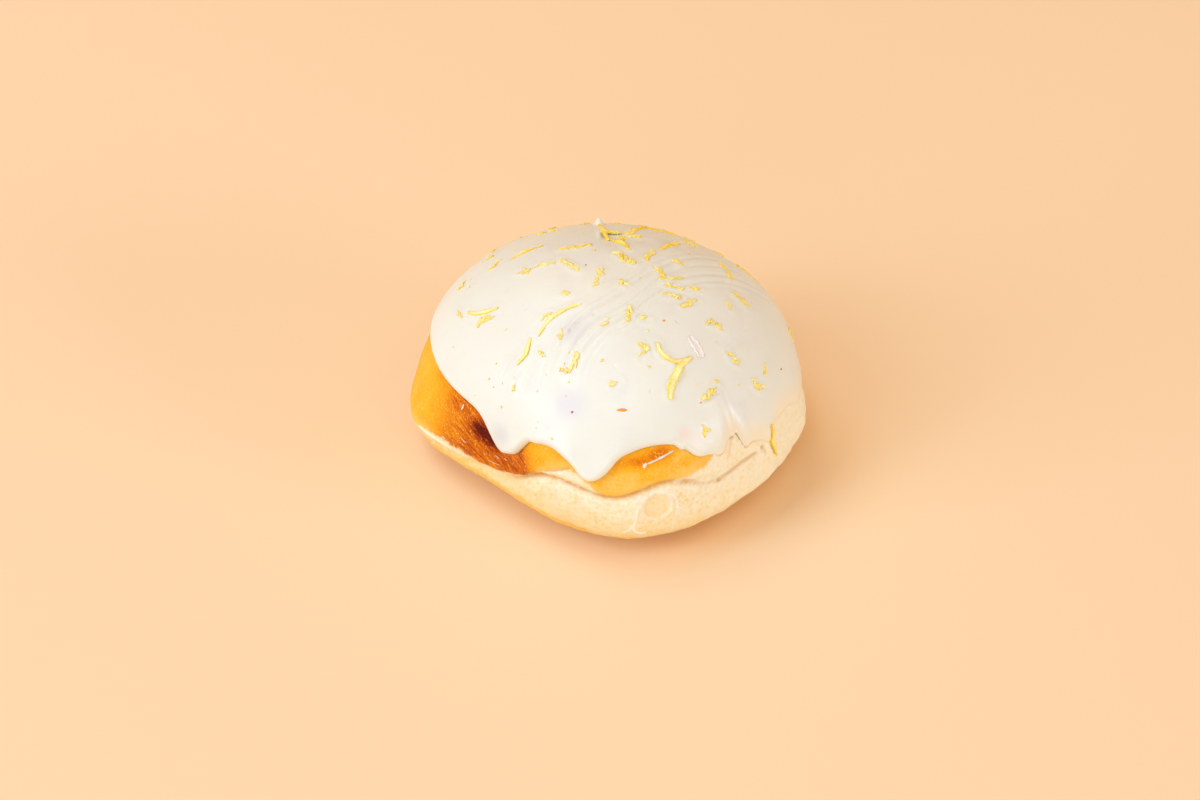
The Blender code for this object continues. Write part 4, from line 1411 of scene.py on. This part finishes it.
def dough_material():
    shader = Shader("fried_dough")
    ragged = shader.sum(
        shader.about(shader.noise(2.4 * MM, 4), 0.9),
        shader.about(shader.noise(0.8 * MM, 3), 0.35),
    )
    above = shader.sum(shader.attribute("above_crust_line"), ragged)
    crust = shader.between(above, -0.35, 0.55)
    colour = shader.mix(crust, band_colour(shader), crust_colour(shader))
    uneven = shader.about(shader.noise(2.4 * MM, 4), 1.8)
    foot = shader.sum(shader.attribute("above_sole_line"), uneven)
    colour = shader.mix(shader.between(foot, 0.5, -0.9, 0.0, 0.62), colour, CRUST_GOLD)
    # Painted shade: a broken brown line along the crease.
    broken = shader.between(shader.noise(3 * MM, 3), 0.35, 0.55, 0.35, 0.8)
    colour = shader.mix(shader.times(shader.attribute("crease_shade"), broken), colour, SHADE_BROWN)
    # Painted shade in the cracks and the pores, and partly along the thin icing's edge.
    colour = shader.mix(shader.where("cracks", 0.05, 0.5, 0.6), colour, SHADE_BROWN)

    grain = shader.noise(0.4 * MM, 3)
    lumps = shader.noise(1.4 * MM, 4, stretch=(1, 1, 1.6))
    normal = shader.bump(grain, 0.05 * MM)
    normal = shader.bump(lumps, 0.09 * MM, after=normal)
    dark = shader.where("browning_and_edge_shade", 0.35, 0.7)
    dull = shader.math("MULTIPLY_ADD", crust, -0.12, 0.58)
    shader.set(
        Base_Color=colour,
        Roughness=shader.math("MULTIPLY_ADD", shader.times(dark, crust), -0.14, dull),
        Normal=normal,
        Specular_IOR_Level=0.12,
    )
    shader.soft(0.25, (1.0, 0.6, 0.3), 1.0)
    return shader.material


def icing_material():
    shader = Shader("sugar_icing")
    soft = shader.times(shader.between(shader.noise(8 * MM, 3), 0.5, 0.8), 0.4)
    colour = shader.mix(soft, ICING_WHITE, ICING_GREY)
    colour = shader.mix(shader.where("cloud", 0.0, -1.0), colour, ICING_GREY)
    colour = shader.mix(shader.where("cloud", 0.0, 1.0, 0.7), colour, ICING_PINK)
    film = shader.times(shader.attribute("film"), 0.85)
    thin = shader.math("MAXIMUM", shader.where("thickness", 0.8, 0.1, 0.5), film)
    colour = shader.mix(thin, colour, ICING_FILM)
    lines = shader.line_noise(shader.attribute("drag_across"), 1.7, 2)
    normal = shader.bump(shader.times(lines, shader.attribute("drag_share")), 0.10 * MM)
    normal = shader.bump(shader.noise(0.9 * MM, 3), 0.02 * MM, after=normal)
    shader.set(
        Base_Color=colour,
        Roughness=shader.between(shader.noise(6 * MM, 3), 0.3, 0.7, 0.30, 0.42),
        Normal=normal,
        Specular_IOR_Level=0.5,
    )
    shader.soft(0.4, (1.0, 0.85, 0.65), 1.0)
    return shader.material


def zest_material():
    shader = Shader("lemon_zest")
    pores = shader.noise(0.45 * MM, 3)
    # The edge value paints the zest pale on top as a highlight and deeper at its sides as shade. Tone
    # and pores are its own.
    rind_tone_and_painted_light = shader.sum(
        shader.times(shader.attribute("edge"), 0.7),
        shader.times(shader.attribute("tone"), 0.5),
        shader.about(pores, 0.5),
        -0.1,
    )
    stops = ((0.12, ZEST_PALE), (0.5, ZEST_YELLOW), (0.9, ZEST_DEEP))
    shader.set(
        Base_Color=shader.ramp(rind_tone_and_painted_light, stops),
        Roughness=0.4,
        Normal=shader.bump(pores, 0.07 * MM),
        Specular_IOR_Level=0.5,
    )
    shader.soft(0.08, (1.0, 0.85, 0.3), 0.5)
    return shader.material


def speck_material(name, colour, deeper):
    shader = Shader(name)
    shader.set(
        Base_Color=shader.mix(shader.noise(0.3 * MM, 2), colour, deeper),
        Roughness=0.5,
        Normal=shader.bump(shader.noise(0.2 * MM, 2), 0.05 * MM),
    )
    return shader.material


def pith_material():
    shader = Shader("pith")
    patches = shader.between(shader.noise(0.9 * MM, 3), 0.4, 0.65)
    shader.set(
        Base_Color=shader.mix(patches, PITH_WHITE, BAND_CREAM),
        Roughness=0.5,
        Normal=shader.bump(shader.noise(0.35 * MM, 3), 0.08 * MM),
    )
    shader.soft(0.4, (1.0, 0.9, 0.7), 0.8)
    return shader.material


def floor_material():
    shader = Shader("peach_paper")
    shader.set(Base_Color=FLOOR_PEACH, Roughness=0.9, Specular_IOR_Level=0.15)
    return shader.material


# ---------------------------------------------------------------- the setting

# Soft lights: a key from the left, fills from the right and the front, and warm light that the
# paper round the bun throws back from above and behind.
COOL_LIGHT = (0.78, 1.00, 1.36)
WARM_LIGHT = (1.70, 1.04, 0.30)
Light = namedtuple("Light", "name azimuth elevation power size colour")
LIGHTS = (
    Light("left_key_low", 205, 20, 16.0, 1.2, COOL_LIGHT),
    Light("left_key_high", 206, 42, 13.0, 1.2, COOL_LIGHT),
    Light("front_low", 250, 9, 8.5, 1.4, COOL_LIGHT),
    Light("front_high", 262, 60, 8.0, 1.4, COOL_LIGHT),
    Light("right_fill_low", 334, 9, 24.0, 1.2, COOL_LIGHT),
    Light("right_fill_high", 320, 54, 2.5, 1.4, COOL_LIGHT),
    Light("top_soft", 160, 64, 12.2, 1.4, COOL_LIGHT),
    Light("warm_top", 328, 62, 2.9, 1.4, WARM_LIGHT),
    Light("warm_back", 115, 50, 4.6, 1.6, WARM_LIGHT),
)
LIGHT_DISTANCE = 2.5
ROOM_COLOUR = (0.41, 0.19, 0.05, 1.0)
FLOOR_SIZE = 8.0


def add_camera():
    data = bpy.data.cameras.new("photo_camera")
    data.lens = CAMERA_LENS
    data.sensor_width = CAMERA_SENSOR
    data.clip_start = CAMERA_NEAR
    camera = linked("photo_camera", data)
    elevation = CAMERA_ELEVATION * DEGREE
    back = Vector((0, -math.cos(elevation), math.sin(elevation)))
    camera.location = CAMERA_TARGET + back * CAMERA_DISTANCE
    camera.rotation_euler = (CROWN - elevation, 0, 0)
    bpy.context.scene.camera = camera


def add_light(light):
    data = bpy.data.lights.new(light.name, "AREA")
    data.shape = "DISK"
    data.size = light.size
    data.energy = light.power
    data.color = light.colour
    made = linked(light.name, data)
    azimuth, elevation = light.azimuth * DEGREE, light.elevation * DEGREE
    level = math.cos(elevation)
    way = Vector((level * math.cos(azimuth), level * math.sin(azimuth), math.sin(elevation)))
    made.location = way * LIGHT_DISTANCE
    made.rotation_euler = way.to_track_quat("Z", "Y").to_euler()


def add_floor():
    half = FLOOR_SIZE / 2
    mesh = bpy.data.meshes.new("paper_floor")
    corners = [(-half, -half, 0), (half, -half, 0), (half, half, 0), (-half, half, 0)]
    mesh.from_pydata(corners, [], [(0, 1, 2, 3)])
    floor = linked("paper_floor", mesh)
    floor.data.materials.append(floor_material())


def add_world():
    world = bpy.data.worlds.new("soft_room")
    world.use_nodes = True
    background = world.node_tree.nodes["Background"]
    background.inputs["Color"].default_value = ROOM_COLOUR
    background.inputs["Strength"].default_value = 1.0
    bpy.context.scene.world = world
    bpy.context.scene.view_settings.view_transform = "Standard"


def dress(piece, material):
    """Gives a piece its material, and ties it to the part."""
    piece.data.materials.append(material)
    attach(piece, "root")


def main():
    add_camera()
    add_floor()
    add_world()
    for light in LIGHTS:
        add_light(light)

    shreds = list(NOTED_SHREDS) + scattered_shreds()
    zest_points = np.concatenate([smooth_stations(shred)[0][::2] for shred in shreds])
    dough = make_dough()
    icing = make_icing(zest_points)
    dress(dough, dough_material())
    dress(icing, icing_material())
    dress(make_glaze_and_glint_strings(), icing_material())
    dress(make_zest(shreds), zest_material())
    dress(make_flake(), pith_material())
    red = speck_material("red_speck", SPECK_RED, CRUST_BROWN)
    orange = speck_material("orange_grain", SPECK_ORANGE, CRUST_AMBER)
    dress(make_grains("red_specks", RED_SPECKS), red)
    dress(make_grains("orange_grains", ORANGE_GRAINS), orange)
    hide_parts("dough")
    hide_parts("icing")


main()
